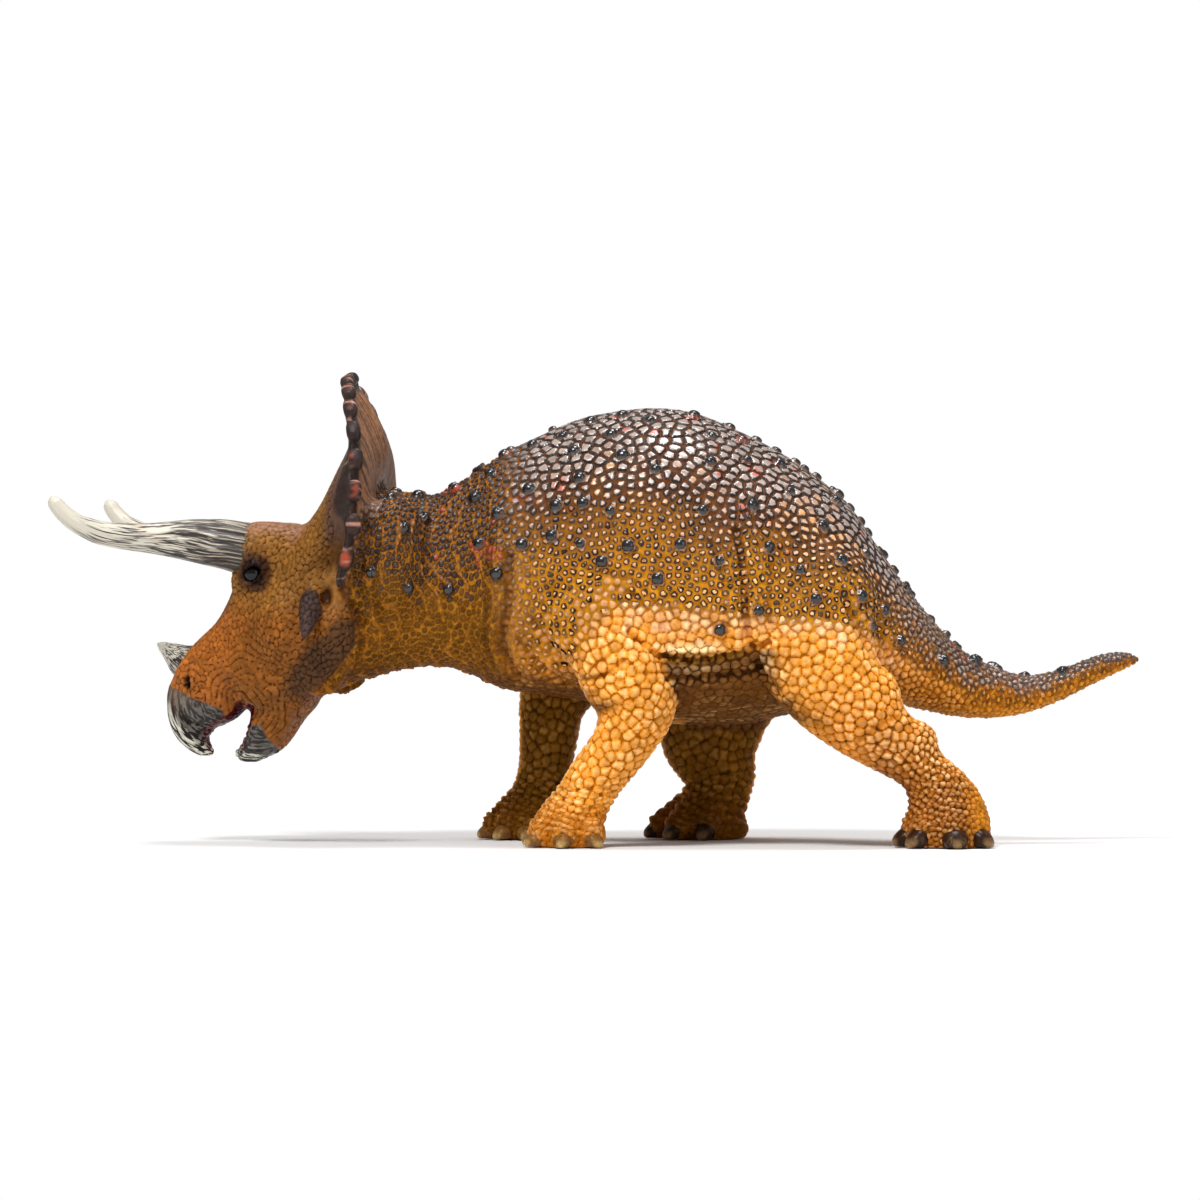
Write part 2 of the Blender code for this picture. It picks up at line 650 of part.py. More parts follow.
def make_head(model, tools, root, torso_form, materials):
    """The head with its jaw, frill, horns and eyes, on a frame turned at the end of the neck."""
    low, high, _ = torso_station(0)
    head_frame = bpy.data.objects.new("head_frame", None)
    model.objects.link(head_frame)
    head_frame.parent = root
    head_frame.location = (0, 0, (low + high) / 2)
    head_frame.rotation_euler = (0, 0, -HEAD_YAW)

    head = add_piece("head", head_mesh("head"), model, head_frame, materials["head"])
    subdivide(head)
    combine(head, torso_form, "DIFFERENCE")
    combine(head, make_spigot("head_spigot", 0, 1, tools, root), "UNION")
    head_form = follower("head_form", head_mesh("head_form"), tools, head_frame, FIT_GAP)

    jaw = add_piece("lower_jaw", jaw_mesh("lower_jaw"), model, head_frame, materials["head"])
    subdivide(jaw)
    combine(jaw, head_form, "DIFFERENCE")
    combine(jaw, torso_form, "DIFFERENCE")

    frill = add_piece("frill", frill_mesh("frill"), model, head_frame, materials["frill"])
    subdivide(frill)
    plate = frill.modifiers.new("thickness", "SOLIDIFY")
    plate.thickness = FRILL_THICKNESS
    plate.offset = 0
    knobs = primitive_mesh("frill_knobs", ball(RIM_KNOB_RADIUS, 6, 4), *rim_knob_placements())
    combine(frill, add_piece("frill_knobs", knobs, tools, head_frame), "UNION")
    frill_root = add_piece("frill_root", frill_root_mesh("frill_root"), tools, head_frame)
    subdivide(frill_root)
    combine(frill, frill_root, "UNION")
    combine(frill, head_form, "DIFFERENCE")
    combine(frill, torso_form, "DIFFERENCE")

    spikes = []
    for side in (LEFT, RIGHT):
        forward, level, outward = CHEEK_SPIKE_PLACE_SHARES
        place = Matrix.Translation(head_point(forward, level, -side * outward))
        lean = Matrix.Rotation(-side * CHEEK_SPIKE_LEAN, 4, "X")
        spikes.append(place @ lean)
    spike_build = rod(0, CHEEK_SPIKE_LENGTH, CHEEK_SPIKE_RADIUS)
    spike_mesh = primitive_mesh("cheek_spikes", spike_build, *spikes)
    combine(head, add_piece("cheek_spikes", spike_mesh, tools, head_frame), "UNION")

    pieces = [head, jaw, frill]
    for name, side in (("left", LEFT), ("right", RIGHT)):
        base = head_point(*BROW_HORN_PLACE_SHARES) + Vector((0, side * BROW_HORN_SPACING / 2, 0))
        sweep = (BROW_HORN_LENGTH, BROW_HORN_RISE, side * BROW_HORN_SPREAD)
        mesh = horn_mesh("brow_horn_" + name, BROW_HORN_SHARES, base, sweep, BROW_HORN_RADIUS)
        horn = make_horn(mesh, base, head, head_form, model, tools, head_frame, materials["horn"])
        forward, level, outward = EYE_PLACE_SHARES
        centre = Matrix.Translation(head_point(forward, level, -side * outward))
        bead = primitive_mesh("eye_" + name, ball(EYE_RADIUS), centre)
        eye = add_piece("eye_" + name, bead, model, head_frame, materials["eye"])
        hollow = primitive_mesh("eye_socket_" + name, ball(EYE_RADIUS + FIT_GAP), centre)
        socket = add_piece("eye_socket_" + name, hollow, tools, head_frame)
        combine(head, socket, "DIFFERENCE")
        combine(horn, socket, "DIFFERENCE")
        pieces += [horn, eye]
    base = head_point(*NOSE_HORN_PLACE_SHARES)
    sweep = (NOSE_HORN_LENGTH, NOSE_HORN_LENGTH, 0)
    mesh = horn_mesh("nose_horn", NOSE_HORN_SHARES, base, sweep, NOSE_HORN_RADIUS)
    pieces.append(make_horn(mesh, base, head, head_form, model, tools, head_frame, materials["horn"]))
    return pieces


def leg_rings(shares, side, shoulder, thickness):
    """Sections square to a leg's bent path, from inside the body down through the sole."""
    rows = np.array(shares)
    height = shoulder[2]
    spread = LEG_SPREAD / 2 + rows[:, 4] * (SHOULDER_SPREAD - LEG_SPREAD) / 2
    path = []
    for row, out in zip(rows, spread):
        path.append(Vector((shoulder[0] + row[0] * height, side * out, row[1] * height)))
    rings = []
    for k, point in enumerate(path):
        down = path[min(k + 1, len(path) - 1)] - path[max(k - 1, 0)]
        down.y = 0
        if k > len(path) - 3:
            down = Vector((0, 0, -1))
        down.normalize()
        fore = Vector((0, 1, 0)).cross(down)
        depth, width = rows[k][2] * thickness / 2, rows[k][3] * thickness / 2
        rings.append(oval(point, (0, 1, 0), fore, width, depth, depth, LEG_SIDES))
    return rings


def toe_placements(rows, side, shoulder, thickness, angles, place_share, level, length_share):
    """Places round the front and outer edge of a foot, each turned the way its toe points."""
    foot = rows[-2]
    centre = Vector((shoulder[0] + foot[0] * shoulder[2], side * LEG_SPREAD / 2, level))
    placements = []
    for angle in angles:
        ahead = Vector((-math.cos(angle), side * math.sin(angle), 0))
        reach = Vector((ahead.x * foot[2] * thickness / 2, ahead.y * foot[3] * thickness / 2, 0))
        turned = Matrix.Rotation(math.atan2(ahead.y, ahead.x), 4, "Z")
        stretch = Matrix.Diagonal((length_share, 1, 1, 1))
        placements.append(Matrix.Translation(centre + place_share * reach) @ turned @ stretch)
    return placements


def leg_peg(name, side, shoulder, gap, tools, root):
    """The square peg that carries a leg in the body's wall, grown by a gap where it is a socket."""
    size = (LEG_PEG_SIZE + 2 * gap, LEG_PEG_LENGTH + 2 * gap, LEG_PEG_SIZE + 2 * gap)
    middle = Matrix.Translation((shoulder[0], shoulder[1] - side * LEG_PEG_LENGTH / 2, shoulder[2]))
    peg = add_piece(name, primitive_mesh(name, block(size), middle), tools, root)
    rounding = peg.modifiers.new("rounding", "BEVEL")
    rounding.width = LEG_PEG_ROUNDING
    rounding.segments = 2
    return peg


def shoulder_point(place_shares, side):
    """Where a leg meets the flank: a share of the body's length and height, on its surface."""
    along, level_share = place_shares
    low, high, half_width = torso_station(along)
    level = BELLY_CLEARANCE + level_share * TORSO_HEIGHT
    widest = low + WIDEST_SHARE * (high - low)
    reach = (widest - low) if level < widest else (high - widest)
    out = half_width * math.sqrt(max(1 - ((level - widest) / reach) ** 2, 0))
    return along * TORSO_LENGTH, side * out, level


def make_leg(plan, torso_form, ground, model, tools, root, material):
    """One leg: a bent limb with toes and claws, fitted to the flank and pegged through its wall."""
    name, side, shares, place_shares, thickness, angles = plan
    shoulder = shoulder_point(place_shares, side)
    leg = add_piece(name, cage(name, leg_rings(shares, side, shoulder, thickness)), model, root, material)
    subdivide(leg)
    toe_level = TOE_LEVEL_SHARE * TOE_RADIUS
    toes = toe_placements(shares, side, shoulder, thickness, angles, TOE_PLACE_SHARE, toe_level, 1)
    toe_mesh = primitive_mesh(name + "_toes", ball(TOE_RADIUS, 8, 5), *toes)
    combine(leg, add_piece(name + "_toes", toe_mesh, tools, root), "UNION")
    claw_level = CLAW_LEVEL_SHARE * CLAW_RADIUS
    claws = toe_placements(
        shares, side, shoulder, thickness, angles, CLAW_PLACE_SHARE, claw_level, CLAW_LENGTH_SHARE
    )
    claw_mesh = primitive_mesh(name + "_claws", ball(CLAW_RADIUS, 6, 4), *claws)
    combine(leg, add_piece(name + "_claws", claw_mesh, tools, root), "UNION")
    combine(leg, torso_form, "DIFFERENCE")
    combine(leg, ground, "DIFFERENCE")
    combine(leg, leg_peg(name + "_peg", side, shoulder, 0, tools, root), "UNION")
    socket = leg_peg(name + "_socket", side, shoulder, FIT_GAP, tools, root)
    return leg, socket


def centre_on_ground(root, pieces):
    """Moves the figure so that the middle of its bounding box's floor is the origin."""
    depsgraph = bpy.context.evaluated_depsgraph_get()
    points = []
    for piece in pieces:
        shown = piece.evaluated_get(depsgraph)
        points += [shown.matrix_world @ vertex.co for vertex in shown.data.vertices]
    spans = np.array(points)
    low, high = spans.min(axis=0), spans.max(axis=0)
    root.location = (-(low[0] + high[0]) / 2, -(low[1] + high[1]) / 2, -low[2])


def main():
    """Builds the figure."""
    clear_scene()
    model = bpy.data.collections.new("toy dinosaur figure")
    tools = bpy.data.collections.new("cutters")
    bpy.context.scene.collection.children.link(model)
    bpy.context.scene.collection.children.link(tools)
    root = bpy.data.objects.new("figure_root", None)
    model.objects.link(root)
    materials = {
        "torso": make_material("torso hide", HIDE, SATIN),
        "legs": make_material("leg hide", LEG_HIDE, SATIN),
        "tail": make_material("tail hide", TAIL_HIDE, SATIN),
        "head": make_material("head hide", HEAD_HIDE, SATIN),
        "frill": make_material("frill hide", FRILL_HIDE, SATIN),
        "horn": make_material("ivory horn", IVORY, POLISHED),
        "eye": make_material("black eye", EYE_BLACK, GLOSSY),
    }

    torso_form = follower("torso_form", torso_cage("torso_form", capped=True), tools, root, FIT_GAP)
    tail = make_tail(model, tools, root, materials["tail"])
    ground_size = (4 * TORSO_LENGTH, 4 * TORSO_WIDTH, 2 * FLOOR_MARGIN)
    ground_place = Matrix.Translation((TORSO_LENGTH / 2, 0, -FLOOR_MARGIN))
    ground = add_piece("ground", primitive_mesh("ground", block(ground_size), ground_place), tools, root)

    front, hind = FRONT_LEG_THICKNESS, HIND_LEG_THICKNESS
    plans = (
        ("front_leg_left", LEFT, FRONT_LEFT_SHARES, SHOULDER_LEFT_SHARES, front, FRONT_LEFT_TOE_ANGLES),
        ("front_leg_right", RIGHT, FRONT_RIGHT_SHARES, SHOULDER_RIGHT_SHARES, front, FRONT_RIGHT_TOE_ANGLES),
        ("hind_leg_left", LEFT, HIND_LEFT_SHARES, HIP_LEFT_SHARES, hind, HIND_LEFT_TOE_ANGLES),
        ("hind_leg_right", RIGHT, HIND_RIGHT_SHARES, HIP_RIGHT_SHARES, hind, HIND_RIGHT_TOE_ANGLES),
    )
    legs, sockets = [], {LEFT: [], RIGHT: []}
    for plan in plans:
        leg, socket = make_leg(plan, torso_form, ground, model, tools, root, materials["legs"])
        legs.append(leg)
        sockets[plan[1]].append(socket)

    halves = []
    for name, side in (("torso_left_shell", LEFT), ("torso_right_shell", RIGHT)):
        halves.append(make_torso_half(name, side, sockets[side], model, tools, root, materials["torso"]))
    head_pieces = make_head(model, tools, root, torso_form, materials)
    centre_on_ground(root, [*halves, tail, *legs, *head_pieces])


if __name__ == "__main__":
    main()
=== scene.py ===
"""Looks of the toy horned dinosaur: a scaly painted hide, streaked ivory horns, glossy eyes and claws.

The file is laid out as a Blender add-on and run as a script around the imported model. Forms are worked out
in millimetres in the figure's own frame: x runs from the end of the neck (0) to the tail, y to the
figure's right and z up from the ground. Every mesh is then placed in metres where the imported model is.
"""

import math

import bpy
import numpy as np
from bpy.props import FloatProperty, FloatVectorProperty, IntProperty, PointerProperty
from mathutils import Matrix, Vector


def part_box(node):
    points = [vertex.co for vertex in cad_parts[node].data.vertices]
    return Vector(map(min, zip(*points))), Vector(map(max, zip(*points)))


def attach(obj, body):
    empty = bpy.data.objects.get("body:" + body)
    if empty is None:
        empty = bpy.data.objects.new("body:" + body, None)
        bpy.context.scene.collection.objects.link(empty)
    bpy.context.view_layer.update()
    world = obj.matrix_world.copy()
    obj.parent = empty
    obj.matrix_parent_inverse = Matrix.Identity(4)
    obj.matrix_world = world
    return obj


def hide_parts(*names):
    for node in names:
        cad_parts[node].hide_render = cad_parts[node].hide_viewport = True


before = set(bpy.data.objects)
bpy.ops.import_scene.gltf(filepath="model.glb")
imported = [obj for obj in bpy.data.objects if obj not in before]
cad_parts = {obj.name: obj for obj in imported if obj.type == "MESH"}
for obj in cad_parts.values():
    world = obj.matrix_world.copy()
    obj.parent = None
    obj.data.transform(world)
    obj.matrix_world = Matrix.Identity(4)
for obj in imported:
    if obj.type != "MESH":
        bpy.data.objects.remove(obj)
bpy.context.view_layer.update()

bl_info = {
    "name": "Toy horned dinosaur",
    "version": (1, 0, 0),
    "blender": (4, 5, 0),
    "location": "3D View > Sidebar > Dinosaur",
    "description": "Models the painted hide, horns, eyes and claws of a toy horned dinosaur",
    "category": "Object",
}

MM = 0.001
LEFT, RIGHT = -1, 1
BODY = "root"

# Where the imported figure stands: the end of the neck, the seam and the ground
NECK_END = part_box("torso_left_shell")[0].x
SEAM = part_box("torso_right_shell")[0].y
ORIGIN = np.array((NECK_END, SEAM, 0.0))
HEAD_YAW = math.radians(9)

# Finish of the surfaces, in millimetres
FORM_VOXEL = 0.7
# The alpha of the skin's own paint, by which it is told from the points that a cut makes
SKIN_MARK = 0.5
# What the skin carries at its points, and how many numbers each takes
HIDE_LAYERS = (("paint", 4), ("wash", 4), ("flow", 3), ("cell", 1), ("rim", 1), ("polish", 1), ("cream", 1))
LAYER_KINDS = {4: ("FLOAT_COLOR", "color"), 3: ("FLOAT_VECTOR", "vector"), 1: ("FLOAT", "value")}
SKIN_VOXEL = 0.34

# Trunk stations: along, underside, back and half width
TRUNK = (
    (-14, 37.5, 58.0, 12.0),
    (-6, 34.6, 64.0, 13.4),
    (3, 32.6, 69.4, 14.4),
    (11, 34.4, 70.2, 15.0),
    (19, 35.2, 69.8, 15.8),
    (24, 34.2, 72.6, 16.8),
    (31, 31.0, 77.2, 18.8),
    (39, 29.6, 81.2, 21.4),
    (47, 28.6, 84.6, 23.6),
    (55, 27.0, 86.2, 25.4),
    (62, 25.4, 86.8, 26.8),
    (70, 24.0, 85.8, 27.6),
    (78, 23.6, 82.6, 27.6),
    (87, 25.2, 78.0, 26.6),
    (95, 27.8, 72.6, 24.8),
    (101, 28.8, 67.2, 22.6),
    (106, 28.8, 60.0, 18.8),
    (111, 27.6, 52.8, 15.2),
    (117, 26.2, 45.2, 12.2),
    (123, 25.1, 38.8, 9.5),
    (129, 24.8, 35.6, 7.3),
    (136, 25.7, 33.4, 5.8),
    (143, 28.1, 34.5, 4.7),
    (151, 32.0, 37.4, 3.9),
    (156.5, 34.4, 38.2, 2.8),
    (159.8, 35.7, 37.3, 1.0),
)
# The tail swings to the figure's right: where the swing starts, how far it goes at the tip
TAIL_START, TAIL_END, TAIL_SWAY = 112.0, 160.0, 5.0

# Leg paths from the body down: along, height, outward, depth and width
FRONT_LEFT = (
    (52.0, 56.0, 17.0, 15.0, 9.0),
    (53.0, 48.4, 20.0, 17.6, 12.6),
    (53.4, 41.0, 21.2, 18.2, 14.6),
    (55.6, 34.0, 21.6, 17.4, 15.2),
    (58.3, 27.8, 21.0, 15.8, 14.6),
    (55.6, 20.6, 19.6, 12.2, 13.2),
    (50.6, 13.8, 18.6, 11.2, 12.2),
    (47.6, 8.8, 18.2, 11.2, 12.4),
    (45.8, 4.0, 18.0, 12.4, 13.6),
    (45.2, -0.6, 18.0, 12.8, 14.2),
)
FRONT_RIGHT = (
    (47.0, 56.0, 17.0, 15.0, 9.0),
    (45.0, 47.0, 20.0, 16.6, 12.6),
    (43.0, 38.0, 21.0, 15.0, 14.2),
    (41.4, 30.0, 20.4, 13.4, 13.6),
    (40.8, 22.0, 19.2, 12.4, 12.8),
    (40.0, 14.6, 18.4, 11.0, 12.0),
    (38.8, 8.8, 18.0, 11.4, 12.2),
    (37.4, 4.0, 18.0, 13.4, 14.4),
    (37.0, -0.6, 18.0, 13.8, 15.0),
)
HIND_LEFT = (
    (93.0, 60.0, 13.0, 17.0, 9.0),
    (92.4, 50.6, 18.4, 22.4, 14.0),
    (92.6, 41.6, 20.4, 25.0, 16.4),
    (95.9, 33.2, 21.0, 21.6, 17.0),
    (102.3, 25.6, 20.8, 17.0, 16.0),
    (109.1, 19.7, 20.0, 12.4, 14.0),
    (114.5, 15.0, 19.5, 10.0, 12.4),
    (117.9, 10.0, 19.2, 13.8, 13.4),
    (119.5, 4.6, 19.3, 16.6, 16.0),
    (119.4, -0.6, 19.3, 16.8, 16.6),
)
HIND_RIGHT = (
    (92.0, 60.0, 13.0, 17.0, 9.0),
    (90.0, 50.6, 18.4, 22.0, 14.0),
    (85.5, 41.0, 20.4, 22.4, 16.4),
    (78.5, 31.4, 21.0, 21.5, 16.6),
    (73.6, 23.4, 20.6, 20.4, 15.2),
    (74.0, 18.0, 20.0, 18.8, 14.0),
    (76.9, 13.8, 19.6, 12.4, 12.8),
    (75.6, 9.4, 19.3, 12.6, 12.6),
    (73.6, 4.4, 19.2, 13.8, 14.2),
    (73.2, -0.6, 19.2, 14.4, 15.0),
)
# Feet: side, ankle (along, outward, height, radius), toes (degrees outward from ahead, reach), toe and claw
FEET = {
    "front_left": (LEFT, (45.8, 18.0, 10.0, 5.0), ((-56, 7.6), (-16, 8.2), (24, 8.2), (76, 7.8), (122, 7.6)), 2.5, 1.8),
    "front_right": (RIGHT, (37.6, 18.0, 10.0, 5.0), ((-80, 7.6), (-44, 8.6), (-8, 9.4), (30, 9.0), (72, 8.0)), 2.5, 1.8),
    "hind_left": (LEFT, (119.2, 19.4, 10.0, 5.6), ((6, 7.8), (46, 8.4), (98, 8.2), (138, 8.4)), 3.2, 2.3),
    "hind_right": (RIGHT, (74.4, 19.4, 9.5, 5.4), ((-75, 8.8), (-40, 10.8), (-4, 12.0), (38, 10.4)), 3.0, 2.1),
}

# Head stations, measured forward from the end of the neck: underside, top and half width
HEAD = (
    (-7.0, 36.0, 66.0, 13.6),
    (-1.0, 31.6, 66.8, 15.4),
    (4.0, 29.6, 65.4, 16.2),
    (8.1, 27.2, 63.6, 15.8),
    (11.1, 25.6, 62.8, 14.8),
    (14.2, 25.2, 62.6, 13.4),
    (17.2, 26.0, 62.0, 12.0),
    (19.8, 26.6, 59.4, 11.0),
    (22.0, 27.0, 51.2, 10.0),
    (25.3, 27.2, 44.8, 8.7),
    (28.7, 26.8, 41.4, 7.7),
    (31.4, 26.4, 38.8, 6.6),
    (33.6, 27.0, 35.6, 5.0),
    (34.9, 28.6, 32.6, 2.6),
)
# Beak stations: outer and inner edge (forward, height) and half width
UPPER_BEAK = (
    (31.4, 38.2, 19.6, 29.6, 7.6),
    (34.6, 33.8, 21.2, 25.8, 7.0),
    (36.1, 29.8, 23.4, 24.0, 5.9),
    (36.3, 25.8, 26.8, 22.6, 4.7),
    (35.2, 22.0, 27.9, 21.0, 3.5),
    (33.0, 19.2, 27.4, 19.2, 2.5),
    (30.2, 17.4, 26.6, 18.2, 1.6),
    (27.8, 16.7, 26.2, 17.4, 0.9),
)
LOWER_JAW = (
    (6.0, 27.0, 10.0, 36.0, 12.6),
    (8.6, 24.4, 15.0, 31.0, 11.6),
    (10.9, 20.6, 17.8, 27.0, 9.4),
    (13.4, 18.0, 18.9, 23.8, 7.2),
    (17.2, 16.3, 20.1, 20.6, 5.2),
    (20.2, 16.0, 21.3, 18.8, 3.4),
    (22.2, 16.7, 22.6, 17.8, 1.4),
)

# Frill: the place of its rim (forward) and its middle (height), its reach, and how it curves
FRILL_SEAT = (-5.5, 61.6)
FRILL_HALF_WIDTH, FRILL_HEIGHT, FRILL_THICKNESS = 22.8, 31.4, 3.0
FRILL_BULGE, FRILL_TOP_FORWARD, FRILL_FOOT_FORWARD = 1.2, 4.0, 2.6
FRILL_HALF_TURN = math.radians(112)
# The skin that flares from the temples to the frill: forward, underside, top and half width
FLARE = (
    (12.0, 44.0, 60.0, 12.0),
    (8.0, 46.0, 62.6, 14.4),
    (5.0, 48.5, 65.8, 16.4),
    (2.4, 51.0, 69.4, 18.2),
    (0.2, 53.0, 73.6, 19.6),
    (-2.4, 54.0, 79.0, 20.8),
    (-4.8, 56.0, 83.0, 21.4),
    (-6.8, 62.0, 76.0, 18.0),
)
RIM_KNOBS = 17

# Horns: path points (forward, outward, height, radius)
BROW_HORN = (
    (11.0, 6.2, 57.2, 3.6),
    (15.0, 7.6, 57.8, 4.4),
    (18.7, 8.6, 58.6, 4.9),
    (22.0, 9.4, 59.4, 4.8),
    (25.6, 10.3, 59.8, 4.4),
    (29.0, 11.4, 60.2, 4.05),
    (34.8, 13.2, 60.6, 3.3),
    (40.0, 14.9, 60.9, 2.65),
    (45.5, 16.6, 61.6, 2.3),
    (48.3, 17.5, 62.6, 2.1),
    (51.0, 18.2, 64.0, 1.85),
    (53.2, 18.7, 65.9, 1.65),
    (54.7, 19.0, 67.8, 1.45),
    (55.3, 19.1, 69.0, 0.9),
)
# The skin that runs out over the root of a brow horn
HORN_ROOT = (
    (7.0, 6.0, 56.6, 5.6),
    (11.0, 6.4, 57.2, 6.6),
    (15.0, 7.6, 57.8, 6.4),
    (17.6, 8.4, 58.3, 5.9),
    (18.8, 8.7, 58.5, 5.3),
    (19.4, 8.8, 58.6, 3.2),
)
RIGHT_HORN_REACH = 0.94
NOSE_HORN = (
    (30.4, 0.0, 35.0, 3.9),
    (33.0, 0.0, 36.2, 3.5),
    (34.8, 0.0, 37.4, 2.5),
    (36.6, 0.0, 38.6, 1.45),
    (38.4, 0.0, 39.7, 0.6),
)
EYE = (16.2, 11.35, 53.7, 1.95)
CHEEK_SPIKE = ((3.2, 15.6, 48.8), (3.8, 21.2, 40.6), 2.35)
NOSTRIL = (30.6, 31.8)
MOUTH_CORNER = (18.7, 27.3)
# The edges of the mouth's maroon lining, upper and lower
MOUTH_ROOF = ((20.4, 27.2), (22.3, 24.8), (26.2, 22.8), (27.4, 20.2), (26.6, 17.8))
MOUTH_FLOOR = ((18.2, 26.4), (19.4, 23.0), (20.8, 19.6))


def smoothstep(low, high, value):
    """0 below low, 1 above high, and a smooth rise between them."""
    share = np.clip((value - low) / (high - low), 0, 1)
    return share * share * (3 - 2 * share)


def mix(first, second, share):
    """A blend of two colours by an array of shares."""
    share = np.asarray(share)[:, None]
    return np.asarray(first) * (1 - share) + np.asarray(second) * share


def through(rows, count, along=None):
    """A smooth curve through table rows: cubic pieces with slopes taken from the neighbouring rows."""
    rows = np.array(rows, float)
    knots = rows[:, along] if along is not None else np.arange(len(rows), dtype=float)
    steps = np.diff(knots)
    slopes = np.diff(rows, axis=0) / steps[:, None]
    tangents = np.empty_like(rows)
    tangents[1:-1] = (slopes[:-1] * steps[1:, None] + slopes[1:] * steps[:-1, None]) / (steps[:-1] + steps[1:])[:, None]
    tangents[0], tangents[-1] = slopes[0], slopes[-1]
    wanted = np.linspace(knots[0], knots[-1], count)
    k = np.clip(np.searchsorted(knots, wanted, side="right") - 1, 0, len(steps) - 1)
    t = ((wanted - knots[k]) / steps[k])[:, None]
    step = steps[k][:, None]
    return (
        (2 * t**3 - 3 * t**2 + 1) * rows[k]
        + (t**3 - 2 * t**2 + t) * step * tangents[k]
        + (3 * t**2 - 2 * t**3) * rows[k + 1]
        + (t**3 - t**2) * step * tangents[k + 1]
    )


def tube(rings):
    """Vertices and triangles of a closed tube through rings of points, with a pole at each end."""
    count, sides = rings.shape[:2]
    points = np.vstack((rings.reshape(-1, 3), rings[0].mean(0), rings[-1].mean(0)))
    rows, turns = np.meshgrid(np.arange(count - 1), np.arange(sides), indexing="ij")
    ahead = (turns + 1) % sides
    a, b = rows * sides + turns, rows * sides + ahead
    c, d = b + sides, a + sides
    body = np.stack((np.stack((a, b, c), -1), np.stack((a, c, d), -1)), 2).reshape(-1, 3)
    turn = np.arange(sides)
    first = np.stack((np.full(sides, count * sides), (turn + 1) % sides, turn), 1)
    last = (count - 1) * sides
    end = np.stack((np.full(sides, count * sides + 1), last + turn, last + (turn + 1) % sides), 1)
    return points, np.vstack((body, first, end))


def outward(points, faces):
    """The same shape with its faces turned outwards: the signed volume of a closed shape is positive."""
    a, b, c = points[faces[:, 0]], points[faces[:, 1]], points[faces[:, 2]]
    if (a * np.cross(b, c)).sum() < 0:
        faces = faces[:, ::-1]
    return points, faces


def ellipsoid(centre, radii, rings=16, sides=28):
    """A closed ellipsoid: circles of latitude, scaled along x, y and z."""
    latitude = np.linspace(-math.pi / 2, math.pi / 2, rings + 2)[1:-1]
    turn = 2 * math.pi * np.arange(sides) / sides
    rows, turns = np.meshgrid(latitude, turn, indexing="ij")
    unit = np.stack((np.cos(rows) * np.cos(turns), np.cos(rows) * np.sin(turns), np.sin(rows)), -1)
    points, faces = tube(unit)
    return points * np.array(radii) + np.array(centre), faces


def swept(rows, sides=28, samples=None):
    """A round-ended tube along a path; each row is x, y, z and the radii across and upward."""
    rows = through(rows, samples or 6 * len(rows))
    path, across_reach, up_reach = rows[:, :3], rows[:, 3], rows[:, 4]
    ahead = np.gradient(path, axis=0)
    ahead /= np.linalg.norm(ahead, axis=1)[:, None]
    guide = np.where(np.abs(ahead[:, 1:2]) > 0.9, (1.0, 0.0, 0.0), (0.0, 1.0, 0.0))
    upward = np.cross(ahead, guide)
    upward /= np.linalg.norm(upward, axis=1)[:, None]
    across = np.cross(upward, ahead)
    turn = 2 * math.pi * np.arange(sides) / sides
    sine, cosine = np.sin(turn)[None, :, None], np.cos(turn)[None, :, None]
    rings = path[:, None] + cosine * (across * across_reach[:, None])[:, None]
    rings = rings + sine * (upward * up_reach[:, None])[:, None]
    return tube(rings)


def head_to_body(points):
    """Turns points of the head (forward, outward to the left, height) into the body's frame."""
    points = np.asarray(points, float)
    sine, cosine = math.sin(HEAD_YAW), math.cos(HEAD_YAW)
    forward, left = points[..., 0], points[..., 1]
    x = -forward * cosine - left * sine
    y = forward * sine - left * cosine
    return np.stack((x, y, points[..., 2]), -1)


def body_to_head(points):
    """The way back from the body's frame to the head's: forward, outward to the left, height."""
    sine, cosine = math.sin(HEAD_YAW), math.cos(HEAD_YAW)
    forward = -points[..., 0] * cosine + points[..., 1] * sine
    left = -points[..., 0] * sine - points[..., 1] * cosine
    return np.stack((forward, left, points[..., 2]), -1)


def tail_sway(x):
    """How far the tail has swung to the right at a place along the figure."""
    return TAIL_SWAY * np.clip((x - TAIL_START) / (TAIL_END - TAIL_START), 0, 1) ** 1.6


def trunk_form():
    """Neck, body and tail in one: an oval section, narrower on the back and fuller at the belly.

    The widest level lies at 0.44 of the section's height; the upper half is cos^1.12 wide, the lower
    half cos^0.85, with u running along the trunk's table.
    """
    rows = through(TRUNK, 150, along=0)
    turn = 2 * math.pi * np.arange(72) / 72
    sine, cosine = np.sin(turn), np.cos(turn)
    x, low, high, wide = (column[:, None] for column in rows.T)
    level = low + 0.44 * (high - low)
    power = np.where(sine > 0, 1.12, 0.85)
    y = wide * np.sign(cosine) * np.abs(cosine) ** power + tail_sway(x)
    z = level + np.where(sine > 0, high - level, level - low) * sine
    return tube(np.stack(np.broadcast_arrays(x, y, z), -1))


def leg_form(table, side):
    """A bent limb: ovals square to the path in side view, depth across it and width outward."""
    rows = through(table, 60)
    x, z, out, depth, width = rows.T
    ahead = np.stack((np.gradient(x), np.gradient(z)), 1)
    ahead /= np.linalg.norm(ahead, axis=1)[:, None]
    flat = smoothstep(9, 3, z)
    ahead = ahead * (1 - flat[:, None]) + np.array((0, -1)) * flat[:, None]
    ahead /= np.linalg.norm(ahead, axis=1)[:, None]
    turn = 2 * math.pi * np.arange(40) / 40
    sine, cosine = np.sin(turn)[None], np.cos(turn)[None]
    fore_x, fore_z = -ahead[:, 1:2], ahead[:, 0:1]
    points_x = x[:, None] + fore_x * depth[:, None] / 2 * sine
    points_z = z[:, None] + fore_z * depth[:, None] / 2 * sine
    points_y = side * out[:, None] + width[:, None] / 2 * cosine
    return tube(np.stack((points_x, points_y, points_z), -1))


